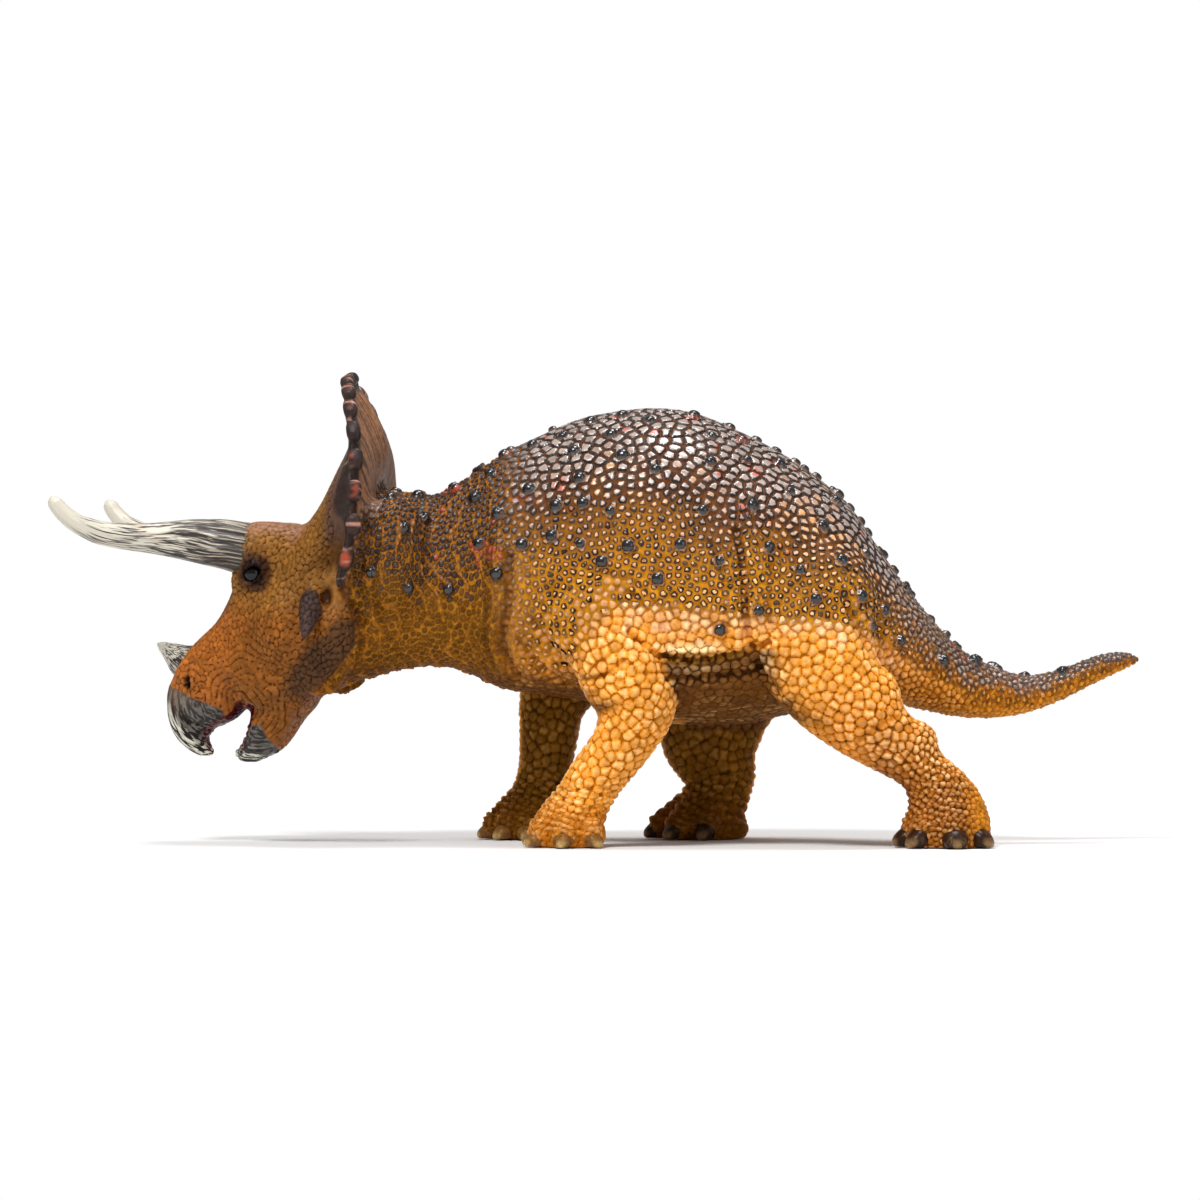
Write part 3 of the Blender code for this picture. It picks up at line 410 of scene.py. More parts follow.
def toe_path(foot, toe):
    """A toe's rows: it leaves the ankle low inside the foot and slopes down to the ground."""
    side, (along, out, height, _), _, thick, _ = FEET[foot]
    angle, reach = toe
    turn = math.radians(angle)
    step = np.array((-math.cos(turn), side * math.sin(turn)))
    rows = []
    for share, level, swell in (
        (0.1, 0.95, 1.25),
        (0.42, 0.68, 1.2),
        (0.72, 0.40, 1.1),
        (0.95, 0.235, 1.0),
        (1.1, 0.2, 0.8),
    ):
        x, y = np.array((along, side * out)) + share * reach * step
        rows.append((x, y, level * height, swell * thick, swell * thick))
    return rows, step


def foot_forms(foot):
    """The toes of a foot, each a round ridge from the ankle to its claw, and the pad under them."""
    side, (along, out, _, ankle), toes, _, _ = FEET[foot]
    shapes = [swept(toe_path(foot, toe)[0], sides=18) for toe in toes]
    shapes.append(ellipsoid((along, side * out, 2.0), (ankle * 1.35, ankle * 1.3, 3.4)))
    return shapes


def bony_section(rows, samples, sides, lower_power):
    """A form of sections that each run from one edge to another in the head's side view.

    The section is an oval: its long axis joins the two edges, and its half width is across the head.
    """
    rows = through(rows, samples)
    outer, inner, wide = rows[:, 0:2], rows[:, 2:4], rows[:, 4]
    middle, reach = (outer + inner) / 2, (outer - inner) / 2
    turn = 2 * math.pi * np.arange(sides) / sides
    sine, cosine = np.sin(turn)[None, :], np.cos(turn)[None, :]
    power = np.where(sine > 0, 1.0, lower_power)
    forward = middle[:, 0:1] + reach[:, 0:1] * sine
    height = middle[:, 1:2] + reach[:, 1:2] * sine
    left = wide[:, None] * np.sign(cosine) * np.abs(cosine) ** power
    return head_to_body(np.stack((forward, left, height), -1))


def head_forms():
    """Skull, cheeks, brows, beak and jaw, each a closed form in the body's frame."""
    rows = np.array(HEAD)
    skull = np.stack((rows[:, 0], rows[:, 2], rows[:, 0], rows[:, 1], rows[:, 3]), 1)
    shapes = [tube(bony_section(skull, 70, 48, 0.72))]
    rows = np.array(FLARE)
    flare = np.stack((rows[:, 0], rows[:, 2], rows[:, 0], rows[:, 1], rows[:, 3]), 1)
    shapes.append(tube(bony_section(flare, 40, 48, 1.0)))
    shapes.append(tube(bony_section(UPPER_BEAK, 50, 32, 0.5)))
    shapes.append(tube(bony_section(LOWER_JAW, 50, 32, 0.7)))
    for side in (1, -1):
        blobs = (
            ((15.5, side * 8.2, 58.6), (6.6, 4.6, 5.0)),
            ((17.0, side * 9.0, 52.6), (4.6, 3.2, 4.2)),
            ((8.0, side * 12.6, 43.0), (7.4, 4.6, 8.6)),
            ((13.5, side * 9.6, 35.0), (8.4, 3.6, 8.2)),
            ((-0.6, side * 12.6, 41.6), (5.6, 4.8, 7.8)),
            ((3.0, side * 10.6, 35.6), (6.0, 4.6, 6.4)),
            ((29.4, side * 5.2, 33.2), (4.4, 2.6, 3.6)),
        )
        for centre, radii in blobs:
            points, faces = ellipsoid((0, 0, 0), radii)
            shapes.append((head_to_body(points * (1, 1, 1) + np.array(centre)), faces))
        rows = []
        for forward, out, height, radius in HORN_ROOT:
            rows.append((*head_to_body((forward, side * out, height)), radius, radius))
        shapes.append(swept(rows, sides=32))
    return shapes


def spike_forms():
    """The pointed bone under each cheek."""
    start, end, radius = CHEEK_SPIKE
    shapes = []
    for side in (1, -1):
        first, last = (np.array((p[0], side * p[1], p[2])) for p in (start, end))
        rows = []
        for share, thick in ((-0.3, 0.9), (0.1, 1.0), (0.5, 0.78), (0.85, 0.40), (1.0, 0.08)):
            rows.append((*head_to_body(first + share * (last - first)), thick * radius * 0.8, thick * radius))
        shapes.append(swept(rows, sides=18))
    return shapes


def frill_point(turn, reach):
    """The frill's middle surface: turn from upright and share of its reach, in the head's frame.

    It is a shallow dish, hollow in front: it bulges back by b (1 - r^2.6) within its rim, its top
    leans forward and its two lower lobes turn forward.
    """
    across = reach * np.sin(turn)
    rise = reach * np.cos(turn)
    forward = FRILL_SEAT[0] - FRILL_BULGE * (1 - np.clip(reach, 0, 1) ** 2.6)
    forward = forward + FRILL_TOP_FORWARD * smoothstep(0.42, 1.05, rise)
    forward = forward + FRILL_FOOT_FORWARD * smoothstep(0.05, -0.35, rise)
    forward = forward + 1.6 * smoothstep(0.84, 1.05, rise)
    forward = forward + 1.5 * smoothstep(0.6, 0.2, rise) * np.exp(-((across / 0.5) ** 2))
    crest = smoothstep(1.0, 0.72, reach) * smoothstep(0.1, 0.72, reach)
    forward = forward - 1.4 * np.exp(-((across / 0.18) ** 2)) * crest * (rise > 0)
    height = FRILL_SEAT[1] + rise * FRILL_HEIGHT
    return np.stack((forward, -across * FRILL_HALF_WIDTH, height), -1)


def frill_form(swell=0.0):
    """The shield: rings of points round its rim, thick at the base and thin at the edge."""
    turn = np.linspace(-FRILL_HALF_TURN, FRILL_HALF_TURN, 61)
    reach = np.concatenate((np.linspace(0.02, 1, 22), np.linspace(1, 0.02, 22)))
    side = np.concatenate((np.ones(22), -np.ones(22)))
    turns, reaches = np.meshgrid(turn, reach, indexing="ij")
    sides = np.broadcast_to(side, turns.shape)
    points = frill_point(turns, reaches * (1 + swell / FRILL_HALF_WIDTH))
    rounded = np.sqrt(np.clip(1.02 - reaches**8, 0.02, 1))
    thick = (FRILL_THICKNESS / 2 + swell) * (1.35 - 0.45 * reaches) * rounded
    points[..., 0] += sides * thick
    return tube(head_to_body(points))


def rim_knob_forms():
    """Flattened knobs set along the rim, longer along it than across."""
    shapes = []
    turns = np.linspace(-FRILL_HALF_TURN, FRILL_HALF_TURN, RIM_KNOBS + 2)[1:-1]
    for turn in turns:
        middle = frill_point(turn, 0.985) + (1.6 * smoothstep(0.05, 0.25, turn) - 0.9, 0, 0)
        before, after = frill_point(turn - 0.01, 1.0), frill_point(turn + 0.01, 1.0)
        tangent = (after - before) / np.linalg.norm(after - before)
        outward_step = middle - frill_point(turn, 0.8)
        outward_step /= np.linalg.norm(outward_step)
        normal = np.cross(tangent, outward_step)
        points, faces = ellipsoid((0, 0, 0), (1, 1, 1), rings=14, sides=24)
        points = np.sign(points) * np.abs(points) ** 0.72 * (2.2, 1.55, 1.3)
        turned = points[:, 0:1] * tangent + points[:, 1:2] * normal + points[:, 2:3] * outward_step
        shapes.append((head_to_body(turned + middle), faces))
    return shapes


def muscle_forms():
    """Masses under the skin: shoulders, elbows, thighs, calves, ribs, belly and the neck behind the frill."""
    masses = []
    for side, elbow in ((LEFT, (60.6, 27.8)), (RIGHT, (45.6, 30.0))):
        masses.append(((elbow[0], side * 20.2, elbow[1]), (4.8, 6.2, 5.4)))
    masses += [
        ((51.0, -19.0, 45.0), (11.0, 8.6, 10.6)),
        ((47.5, 19.0, 45.0), (11.0, 8.6, 10.6)),
        ((92.0, -17.4, 47.0), (14.0, 10.4, 14.5)),
        ((90.0, 17.4, 47.0), (14.0, 10.4, 14.5)),
        ((102.4, -21.0, 28.8), (8.0, 7.0, 7.8)),
        ((112.7, -20.6, 20.4), (5.0, 5.6, 4.6)),
        ((77.6, 21.0, 21.4), (6.8, 7.0, 6.2)),
        ((10.0, -12.0, 57.0), (7.6, 8.2, 12.0)),
        ((10.0, 12.0, 57.0), (7.6, 8.2, 12.0)),
        ((70.0, 0.0, 36.0), (24.0, 24.6, 12.6)),
    ]
    return [ellipsoid(centre, radii) for centre, radii in masses]


def mesh_from(name, points, faces):
    """A Blender mesh of triangles or quads from whole arrays, in millimetres."""
    mesh = bpy.data.meshes.new(name)
    corners = faces.shape[1]
    mesh.vertices.add(len(points))
    mesh.vertices.foreach_set("co", np.ascontiguousarray(points, np.float32).ravel())
    mesh.loops.add(faces.size)
    mesh.loops.foreach_set("vertex_index", np.ascontiguousarray(faces, np.int32).ravel())
    mesh.polygons.add(len(faces))
    mesh.polygons.foreach_set("loop_start", np.arange(0, faces.size, corners, dtype=np.int32))
    mesh.update(calc_edges=True)
    return mesh


def joined(shapes):
    """Several closed shapes as one list of points and one of faces."""
    points, faces, count = [], [], 0
    for shape in shapes:
        shape_points, shape_faces = outward(*shape)
        points.append(shape_points)
        faces.append(shape_faces + count)
        count += len(shape_points)
    return np.vstack(points), np.vstack(faces)


def read_mesh(mesh):
    """Points and quads of a mesh, as arrays."""
    points = np.empty(len(mesh.vertices) * 3, np.float32)
    mesh.vertices.foreach_get("co", points)
    corners = np.empty(len(mesh.loops), np.int32)
    mesh.loops.foreach_get("vertex_index", corners)
    return points.reshape(-1, 3).astype(float), corners.reshape(-1, 4)


def voxel_union(points, faces, size):
    """The outer skin of overlapping closed shapes, as even quads of one size."""
    mesh = mesh_from("union", points, faces)
    thing = bpy.data.objects.new("union", mesh)
    bpy.context.scene.collection.objects.link(thing)
    remesh = thing.modifiers.new("union", "REMESH")
    remesh.mode = "VOXEL"
    remesh.voxel_size = size
    remesh.adaptivity = 0
    depsgraph = bpy.context.evaluated_depsgraph_get()
    skin = bpy.data.meshes.new_from_object(thing.evaluated_get(depsgraph))
    result = read_mesh(skin)
    bpy.data.objects.remove(thing)
    bpy.data.meshes.remove(mesh)
    bpy.data.meshes.remove(skin)
    return result


def smoothed(points, quads, weight, rounds):
    """Moves each point towards the middle of its neighbours, by its weight, some rounds over."""
    a = quads.ravel()
    b = np.roll(quads, -1, axis=1).ravel()
    count = np.bincount(a, minlength=len(points)).astype(float)
    for _ in range(rounds):
        middle = np.stack([np.bincount(a, points[b, k], len(points)) for k in range(3)], 1) / count[:, None]
        points = points + weight[:, None] * (middle - points)
    return points


def surface_normals(points, quads):
    """Unit normals of the points: the sum of the cross products of the quads' diagonals round each."""
    across = points[quads[:, 2]] - points[quads[:, 0]]
    along = points[quads[:, 3]] - points[quads[:, 1]]
    facing = np.cross(across, along)
    normals = np.zeros_like(points)
    for k in range(4):
        for axis in range(3):
            normals[:, axis] += np.bincount(quads[:, k], facing[:, axis], len(points))
    return normals / np.maximum(np.linalg.norm(normals, axis=1), 1e-9)[:, None]


def waves(points, size, seed):
    """Smooth noise of about unit strength: 20 sine waves in random directions, each about size long."""
    random = np.random.default_rng(seed)
    count = 20
    directions = random.normal(size=(count, 3))
    directions /= np.linalg.norm(directions, axis=1)[:, None]
    lengths = size * random.uniform(0.7, 1.5, count)
    phases = random.uniform(0, 2 * math.pi, count)
    total = np.zeros(len(points))
    for direction, length, phase in zip(directions, lengths, phases):
        total += np.sin(points @ direction * (2 * math.pi / length) + phase)
    return total / math.sqrt(count / 2)


def grid_keys(cells):
    """One number for each cell of a grid."""
    cells = cells.astype(np.int64) + 2048
    return (cells[:, 0] << 24) + (cells[:, 1] << 12) + cells[:, 2]


def spread_seeds(points, spacing, seed):
    """Picks points at least their spacing apart, wherever there is room for one.

    Every candidate has a random rank. In each round the lowest rank of each small cell stands for it,
    those with no lower one within their spacing are kept, and all points near a kept one drop out.
    """
    random = np.random.default_rng(seed)
    ranks = random.permutation(len(points)).astype(float)
    left = np.arange(len(points))
    kept = np.empty(0, int)
    reach = spacing.max()
    while len(left):
        keys = grid_keys(np.floor(points[left] / (spacing.min() * 0.6)).astype(int))
        order = np.lexsort((ranks[left], keys))
        firsts = np.ones(len(left), bool)
        firsts[1:] = keys[order][1:] != keys[order][:-1]
        leaders = left[order[firsts]]
        lowest = near_least(points[leaders], points[leaders], ranks[leaders], spacing[leaders], reach)
        chosen = leaders[lowest >= ranks[leaders]]
        kept = np.concatenate((kept, chosen))
        gap, _ = nearest_two(points[left], points[chosen], reach)
        left = left[gap[:, 0] > spacing[left]]
    return kept


def neighbour_pairs(points, seeds, reach):
    """Yields index pairs of points and seeds that lie in neighbouring cells of a grid."""
    cells = np.floor(points / reach).astype(int)
    keys = grid_keys(np.floor(seeds / reach).astype(int))
    order = np.argsort(keys, kind="stable")
    filled, starts, counts = np.unique(keys[order], return_index=True, return_counts=True)
    for dx in (-1, 0, 1):
        for dy in (-1, 0, 1):
            for dz in (-1, 0, 1):
                wanted = grid_keys(cells + (dx, dy, dz))
                slot = np.minimum(np.searchsorted(filled, wanted), len(filled) - 1)
                found = np.nonzero(filled[slot] == wanted)[0]
                begin, many = starts[slot[found]], counts[slot[found]]
                for rank in range(many.max() if len(many) else 0):
                    some = many > rank
                    yield found[some], order[begin[some] + rank]


def near_least(points, seeds, values, spacing, reach):
    """The least value among the seeds within each point's spacing, itself included."""
    least = np.full(len(points), np.inf)
    for here, there in neighbour_pairs(points, seeds, reach):
        gap = np.linalg.norm(points[here] - seeds[there], axis=1)
        close = gap < spacing[here]
        np.minimum.at(least, here[close], values[there[close]])
    return least


def nearest_two(points, seeds, reach):
    """Distances to the two nearest seeds of each point, and which they are."""
    gaps = np.full((len(points), 2), 1e3)
    which = np.zeros((len(points), 2), int)
    for here, there in neighbour_pairs(points, seeds, reach):
        gap = np.sqrt(((points[here] - seeds[there]) ** 2).sum(1))
        first = gap < gaps[here, 0]
        nearer, new = here[first], there[first]
        gaps[nearer, 1], which[nearer, 1] = gaps[nearer, 0], which[nearer, 0]
        gaps[nearer, 0], which[nearer, 0] = gap[first], new
        second = ~first & (gap < gaps[here, 1])
        gaps[here[second], 1], which[here[second], 1] = gap[second], there[second]
    return gaps, which


def evened(points, centres, reach):
    """The centres, moved twice to the middle of the points nearest to them, so that the cells are alike."""
    for _ in range(2):
        _, which = nearest_two(points, centres, reach)
        number = np.bincount(which[:, 0], minlength=len(centres))[:, None]
        total = np.stack([np.bincount(which[:, 0], points[:, k], len(centres)) for k in range(3)], 1)
        centres = np.where(number > 0, total / np.maximum(number, 1), centres)
    return centres


def mouth_bricks(regions):
    """The bricks of skin in arcs round the mouth's corner: how far inside its brick each point is, the
    shade of the brick, and whether it is in that part of the cheek.

    Row n lies n times 1.3 mm from the corner; its bricks are 2 mm long and shifted by 0.37 n.
    """
    forward, left, height = regions.head_place.T
    across, rise = forward - MOUTH_CORNER[0], height - MOUTH_CORNER[1]
    ripple = waves(regions.points, 6, 14)
    radius = np.hypot(across, rise) + 0.4 * ripple
    angle = np.arctan2(rise, across)
    angle = np.where(angle < -0.8, angle + 2 * math.pi, angle)
    row = np.floor(radius / 1.3)
    along = angle * (row + 0.5) * 1.3 / 2.0 + 0.37 * row + 0.12 * ripple
    brick = np.floor(along)
    inside = np.minimum(
        (0.5 - np.abs(radius / 1.3 - row - 0.5)) * 1.3,
        (0.5 - np.abs(along - brick - 0.5)) * 2.0 + 0.06,
    )
    shade = 2 * np.mod(np.sin(row * 12.9898 + brick * 78.233) * 43758.5453, 1) - 1
    there = (radius + 2.2 * regions.wobble < 10.2) & (radius > 1.0) & (regions.head > 0.5) & (np.abs(left) > 4)
    return inside, shade, there & (regions.beak < 0.5)


class Regions:
    """Where each point of the hide belongs, as weights from 0 to 1 and as places on the figure."""

    def __init__(self, points, normals):
        x, y, z = points.T
        self.points, self.normals = points, normals
        self.head_place = body_to_head(points)
        forward, left, height = self.head_place.T
        rows = np.array(TRUNK)
        low = np.interp(x, rows[:, 0], rows[:, 1])
        high = np.interp(x, rows[:, 0], rows[:, 2])
        self.level = (z - low) / (high - low)
        trunk_wide = np.interp(x, rows[:, 0], rows[:, 3])
        self.wobble = waves(points, 14, 5)
        across, rise = -left / FRILL_HALF_WIDTH, (height - FRILL_SEAT[1]) / FRILL_HEIGHT
        self.reach = np.hypot(across, rise)
        self.turn = np.arctan2(across, rise)
        self.gap = forward - frill_point(self.turn, self.reach)[:, 0]
        plate = smoothstep(4.6, 3.6, np.abs(self.gap)) * smoothstep(0.28, 0.42, self.reach)
        plate = plate * smoothstep(math.cos(FRILL_HALF_TURN) - 0.14, math.cos(FRILL_HALF_TURN) - 0.04, rise)
        behind = smoothstep(0.5, -0.5, self.gap)
        bare = np.maximum(smoothstep(0.80, 0.88, self.reach), smoothstep(64, 69, height))
        self.plate = plate * (1 - behind * (1 - bare))
        self.rear = self.plate * behind
        self.rim = self.plate * smoothstep(0.875, 0.925, self.reach + 0.012 * self.wobble)
        jaw_back = np.interp(height, *np.array(JAW_BACK).T)
        self.behind_jaw = jaw_back - forward
        self.head = smoothstep(-0.5, 0.5, forward - jaw_back + 0.3 * self.wobble)
        self.head = np.maximum(self.head * (1 - self.rear), self.plate - self.rear)
        self.tail = smoothstep(104, 118, x)
        self.neck = smoothstep(42, 28, x) * (1 - self.head) * (1 - self.rear)
        below = smoothstep(34, 26, z)
        # The inner sides of the lower legs take a dark brown, partly the legs' own paint and partly painted shade.
        self.inner_side_shade = smoothstep(-0.05, 0.55, -normals[:, 1] * np.sign(y)) * smoothstep(36, 27, z)
        upper = smoothstep(52, 44, z) * smoothstep(0.82, 0.95, np.abs(y) / trunk_wide)
        upper = upper * smoothstep(0.42, 0.28, self.level)
        upper *= smoothstep(43, 47, x - 0.66 * (z - 34.6))
        self.leg = np.maximum(below, upper)
        self.leg *= (1 - self.head) * (np.abs(y) > 7) * smoothstep(126, 121, x) * smoothstep(24, 28, x)
        ankle = 10 + 6 * smoothstep(98, 106, x)
        self.foot = smoothstep(ankle, 0.6 * ankle, z) * (1 - self.head) * (x > 24)
        # The faces turned down under the flank, on which the belly's brown is painted shade.
        self.under = smoothstep(-0.25, -0.75, normals[:, 2]) * smoothstep(36, 32, z) * (1 - self.head)
        self.under *= (1 - smoothstep(26, 22, z)) * smoothstep(104, 98, x)
        self.side = smoothstep(0.2, 0.7, np.abs(normals[:, 1]))
        beak_line = smoothstep(0.0, 0.6, 29.2 - height + 0.42 * (forward - 29.5)) * smoothstep(23.0, 24.0, forward)
        lower_line = smoothstep(12.8, 13.4, forward - 0.5 * (height - 19)) * (height < 23.6) * (forward < 24.4)
        self.beak = np.maximum(beak_line * (height < 32), lower_line) * self.head * (1 - self.plate)
        self.upper_beak = forward > 0.6 * height + 10.6

    def blend(self, trunk, back, leg, foot, tail, neck, head, plate, under):
        """One value from those of the regions, each laid over the ones before it by its weight."""
        value = trunk + (back - trunk) * smoothstep(0.62, 0.90, self.level)
        layers = ((leg, self.leg), (foot, self.foot), (tail, self.tail), (neck, self.neck), (under, self.under))
        for wanted, weight in (*layers, (head, self.head), (plate, self.plate)):
            value = value + (wanted - value) * weight
        return value


def scale_spacing(regions):
    """How far apart the scales lie, in millimetres, at each point."""
    spacing = regions.blend(1.58, 2.4, 2.0, 1.5, 1.5, 1.5, 1.4, 1.7, 1.9)
    return spacing + (1.3 - spacing) * smoothstep(138, 156, regions.points[:, 0])


def stretched(regions):
    """Points in the space where scales are round: neck and tail are drawn out along x, so their scales
    stand upright in rows, and lower legs along z, so theirs lie flat."""
    x, y, z = regions.points.T
    grown_x = x + 0.35 * np.minimum(x - 30, 0) * (x < 30) + 0.35 * np.maximum(x - 112, 0)
    grown_z = z + 0.35 * np.minimum(z - 12, 0)
    return np.stack((grown_x, y, grown_z), 1)


# The back edge of cheek and jaw: height, forward
JAW_BACK = (
    (26.0, 7.0), (28.0, 5.0), (32.0, 1.1), (35.6, -2.4), (39.5, -5.4), (44.5, -5.4), (48.1, -3.2), (50.4, -2.0),
    (56.0, -3.6), (62.0, -7.0),
)
# Folds of the skin in side view: points (along, height), depth and half width
SIDE_FOLDS = (
    (((33.6, 57.0), (32.2, 48.4), (32.6, 39.4), (35.6, 33.0)), 1.2, 1.5),
    (((30.0, 60.0), (28.8, 50.4), (29.0, 41.4), (30.6, 35.0)), 0.5, 1.0),
    (((62.4, 37.6), (70.6, 36.7), (77.5, 37.8), (84.3, 40.0)), 1.0, 1.0),
    (((63.7, 32.9), (74.5, 33.7), (82.4, 35.1)), 0.5, 0.9),
    (((78.0, 62.0), (80.0, 48.4), (81.0, 40.6), (82.6, 34.7), (86.0, 30.4)), 1.0, 1.3),
    (((73.0, 60.0), (75.4, 50.0), (76.4, 43.0)), 0.3, 0.8),
    (((84.0, 58.0), (84.6, 50.0), (85.0, 44.0)), 0.35, 0.8),
    (((52.0, 54.0), (57.5, 52.0), (61.6, 47.6), (64.0, 42.4)), 0.35, 0.9),
    (((54.0, 51.0), (58.5, 48.6), (61.0, 45.0)), 0.3, 0.8),
    (((56.7, 42.4), (61.2, 38.4), (64.0, 33.0)), 0.8, 1.1),
    (((47.0, 32.4), (51.6, 33.4), (56.0, 36.4)), 0.5, 0.9),
    (((35.3, 40.6), (40.2, 34.7), (46.1, 30.8)), 0.7, 1.1),
    (((37.0, 44.6), (42.2, 38.7), (47.1, 35.8)), 0.4, 0.9),
    (((98.8, 49.7), (101.6, 43.0), (103.9, 37.7)), 0.9, 1.2),
    (((103.8, 50.7), (106.0, 43.0), (108.0, 37.0)), 0.5, 1.0),
    (((102.0, 21.0), (105.6, 23.6), (109.0, 25.6)), 0.35, 0.9),
    (((8.0, 64.0), (6.4, 54.0), (7.6, 44.0), (12.0, 37.4)), 0.4, 1.0),
)
# The fold under the flank: along, height; the belly below it is brown, partly its own paint and partly painted shade
BELLY_LINE = ((56.0, 33.0), (61.0, 36.2), (70.6, 36.4), (77.5, 37.4), (84.3, 39.4), (90.0, 36.0))


def line_gap(x, z, line):
    """Distance in side view from each point to a line through the given places."""
    line = through(line, 12 * len(line))
    gap = np.full(len(x), 1e3)
    for (ax, az), (bx, bz) in zip(line, line[1:]):
        dx, dz = bx - ax, bz - az
        share = np.clip(((x - ax) * dx + (z - az) * dz) / (dx * dx + dz * dz), 0, 1)
        gap = np.minimum(gap, np.hypot(x - ax - share * dx, z - az - share * dz))
    return gap


def ankle_height(x):
    """How high the creased skin of the feet reaches: higher on the hind foot that is set back."""
    return 12 + 5 * smoothstep(98, 106, x)


def crest_lines(phase, width):
    """Thin ridges, one for each whole number of the phase: 1 on the line and 0 beyond the given share."""
    return smoothstep(width, 0, np.abs(phase - np.round(phase)))


def folds(regions):
    """How far folds and wrinkles press into the skin (negative) or lift it, in millimetres.

    Thin ridges stand on the neck and run round the tail; cracks, the dips between rounded pleats, cross
    the ankles, the belly and the cheeks. The ridges of the neck are kept for the paint.
    """
    x, y, z = regions.points.T
    forward, left, height = regions.head_place.T
    wobble = regions.wobble
    press = np.zeros(len(x))
    for line, depth, half_width in SIDE_FOLDS:
        gap = line_gap(x + 0.3 * wobble, z, line)
        groove = np.exp(-((gap / (0.55 * half_width)) ** 2))
        lip = np.exp(-(((gap - 1.6 * half_width) / half_width) ** 2))
        press += regions.side * (1 - regions.plate) * depth * (0.4 * lip - groove)
    ripple = waves(regions.points, 5, 8)
    neck_phase = (x + 1.1 * wobble + 0.35 * ripple + 0.12 * (z - 50) - 2) / 3.3
    broken = smoothstep(-1.3, -0.3, waves(regions.points, 9, 9))
    regions.ridge = crest_lines(neck_phase, 0.2) * regions.neck * smoothstep(-8, -3, x) * broken
    hip_phase = (x + 0.8 * wobble + 0.3 * ripple + 0.10 * z) / 2.5
    hip = np.exp(-(((x - 80) / 7.0) ** 2)) * smoothstep(38, 46, z) * smoothstep(74, 66, z) * regions.side
    regions.ridge = np.maximum(regions.ridge, 0.7 * crest_lines(hip_phase, 0.2) * hip * broken)
    tail_along = x - 0.75 * (z - 35) * smoothstep(132, 114, x)
    tail_phase = (tail_along + 0.6 * wobble + 0.3 * ripple) / 1.9
    rings = crest_lines(tail_phase, 0.26) * smoothstep(88, 100, tail_along)
    rings = rings * smoothstep(160, 150, x) * (1 - regions.leg)
    regions.ridge = np.maximum(regions.ridge, 0.6 * rings)
    press += 0.32 * regions.ridge
    creases = np.abs(np.sin(math.pi * (z + 0.35 * x + 0.7 * wobble) / 1.7))
    press += 0.5 * (creases**0.6 - 0.8) * regions.leg * smoothstep(1.3, 0.9, z / ankle_height(x)) * smoothstep(1.5, 4, z)
    pleats = np.abs(np.sin(math.pi * (np.abs(y) + 0.9 * wobble) / 2.4))
    press += 0.5 * (pleats**0.6 - 0.8) * regions.under * (np.abs(y) < 15)
    lids = np.hypot((forward - EYE[0]) / 1.55, (height - EYE[2] + 0.35 * (forward - EYE[0])) / 1.2)
    socket = np.hypot(forward - EYE[0], height - EYE[2])
    ringed = np.exp(-(((socket - 3.6) / 0.5) ** 2)) + 0.6 * np.exp(-(((socket - 4.9) / 0.5) ** 2))
    eyelid = 0.8 * np.exp(-(((lids - 1.55) / 0.32) ** 2)) - 1.3 * smoothstep(1.15, 0.85, lids) - 0.4 * ringed
    press += regions.head * (np.abs(left) > 6) * eyelid
    slit = np.hypot((forward - NOSTRIL[0] + 0.28 * (height - NOSTRIL[1]) ** 2 * 0.3) / 0.75, (height - NOSTRIL[1]) / 1.9)
    regions.nostril = smoothstep(1.0, 0.6, slit) * regions.head * (np.abs(left) > 2)
    press += -1.3 * regions.nostril + 0.35 * np.exp(-(((slit - 1.6) / 0.4) ** 2)) * regions.head * (slit < 3)
    press -= 1.3 * np.exp(-(((regions.behind_jaw - 0.7) / 0.8) ** 2)) * regions.side * (height < 54) * (height > 30)
    regions.pit = smoothstep(1.0, 0.2, np.hypot((forward - 0.3) / 1.5, (height - 49.2) / 2.6)) * (np.abs(left) > 11)
    press -= 1.4 * regions.pit
    return press


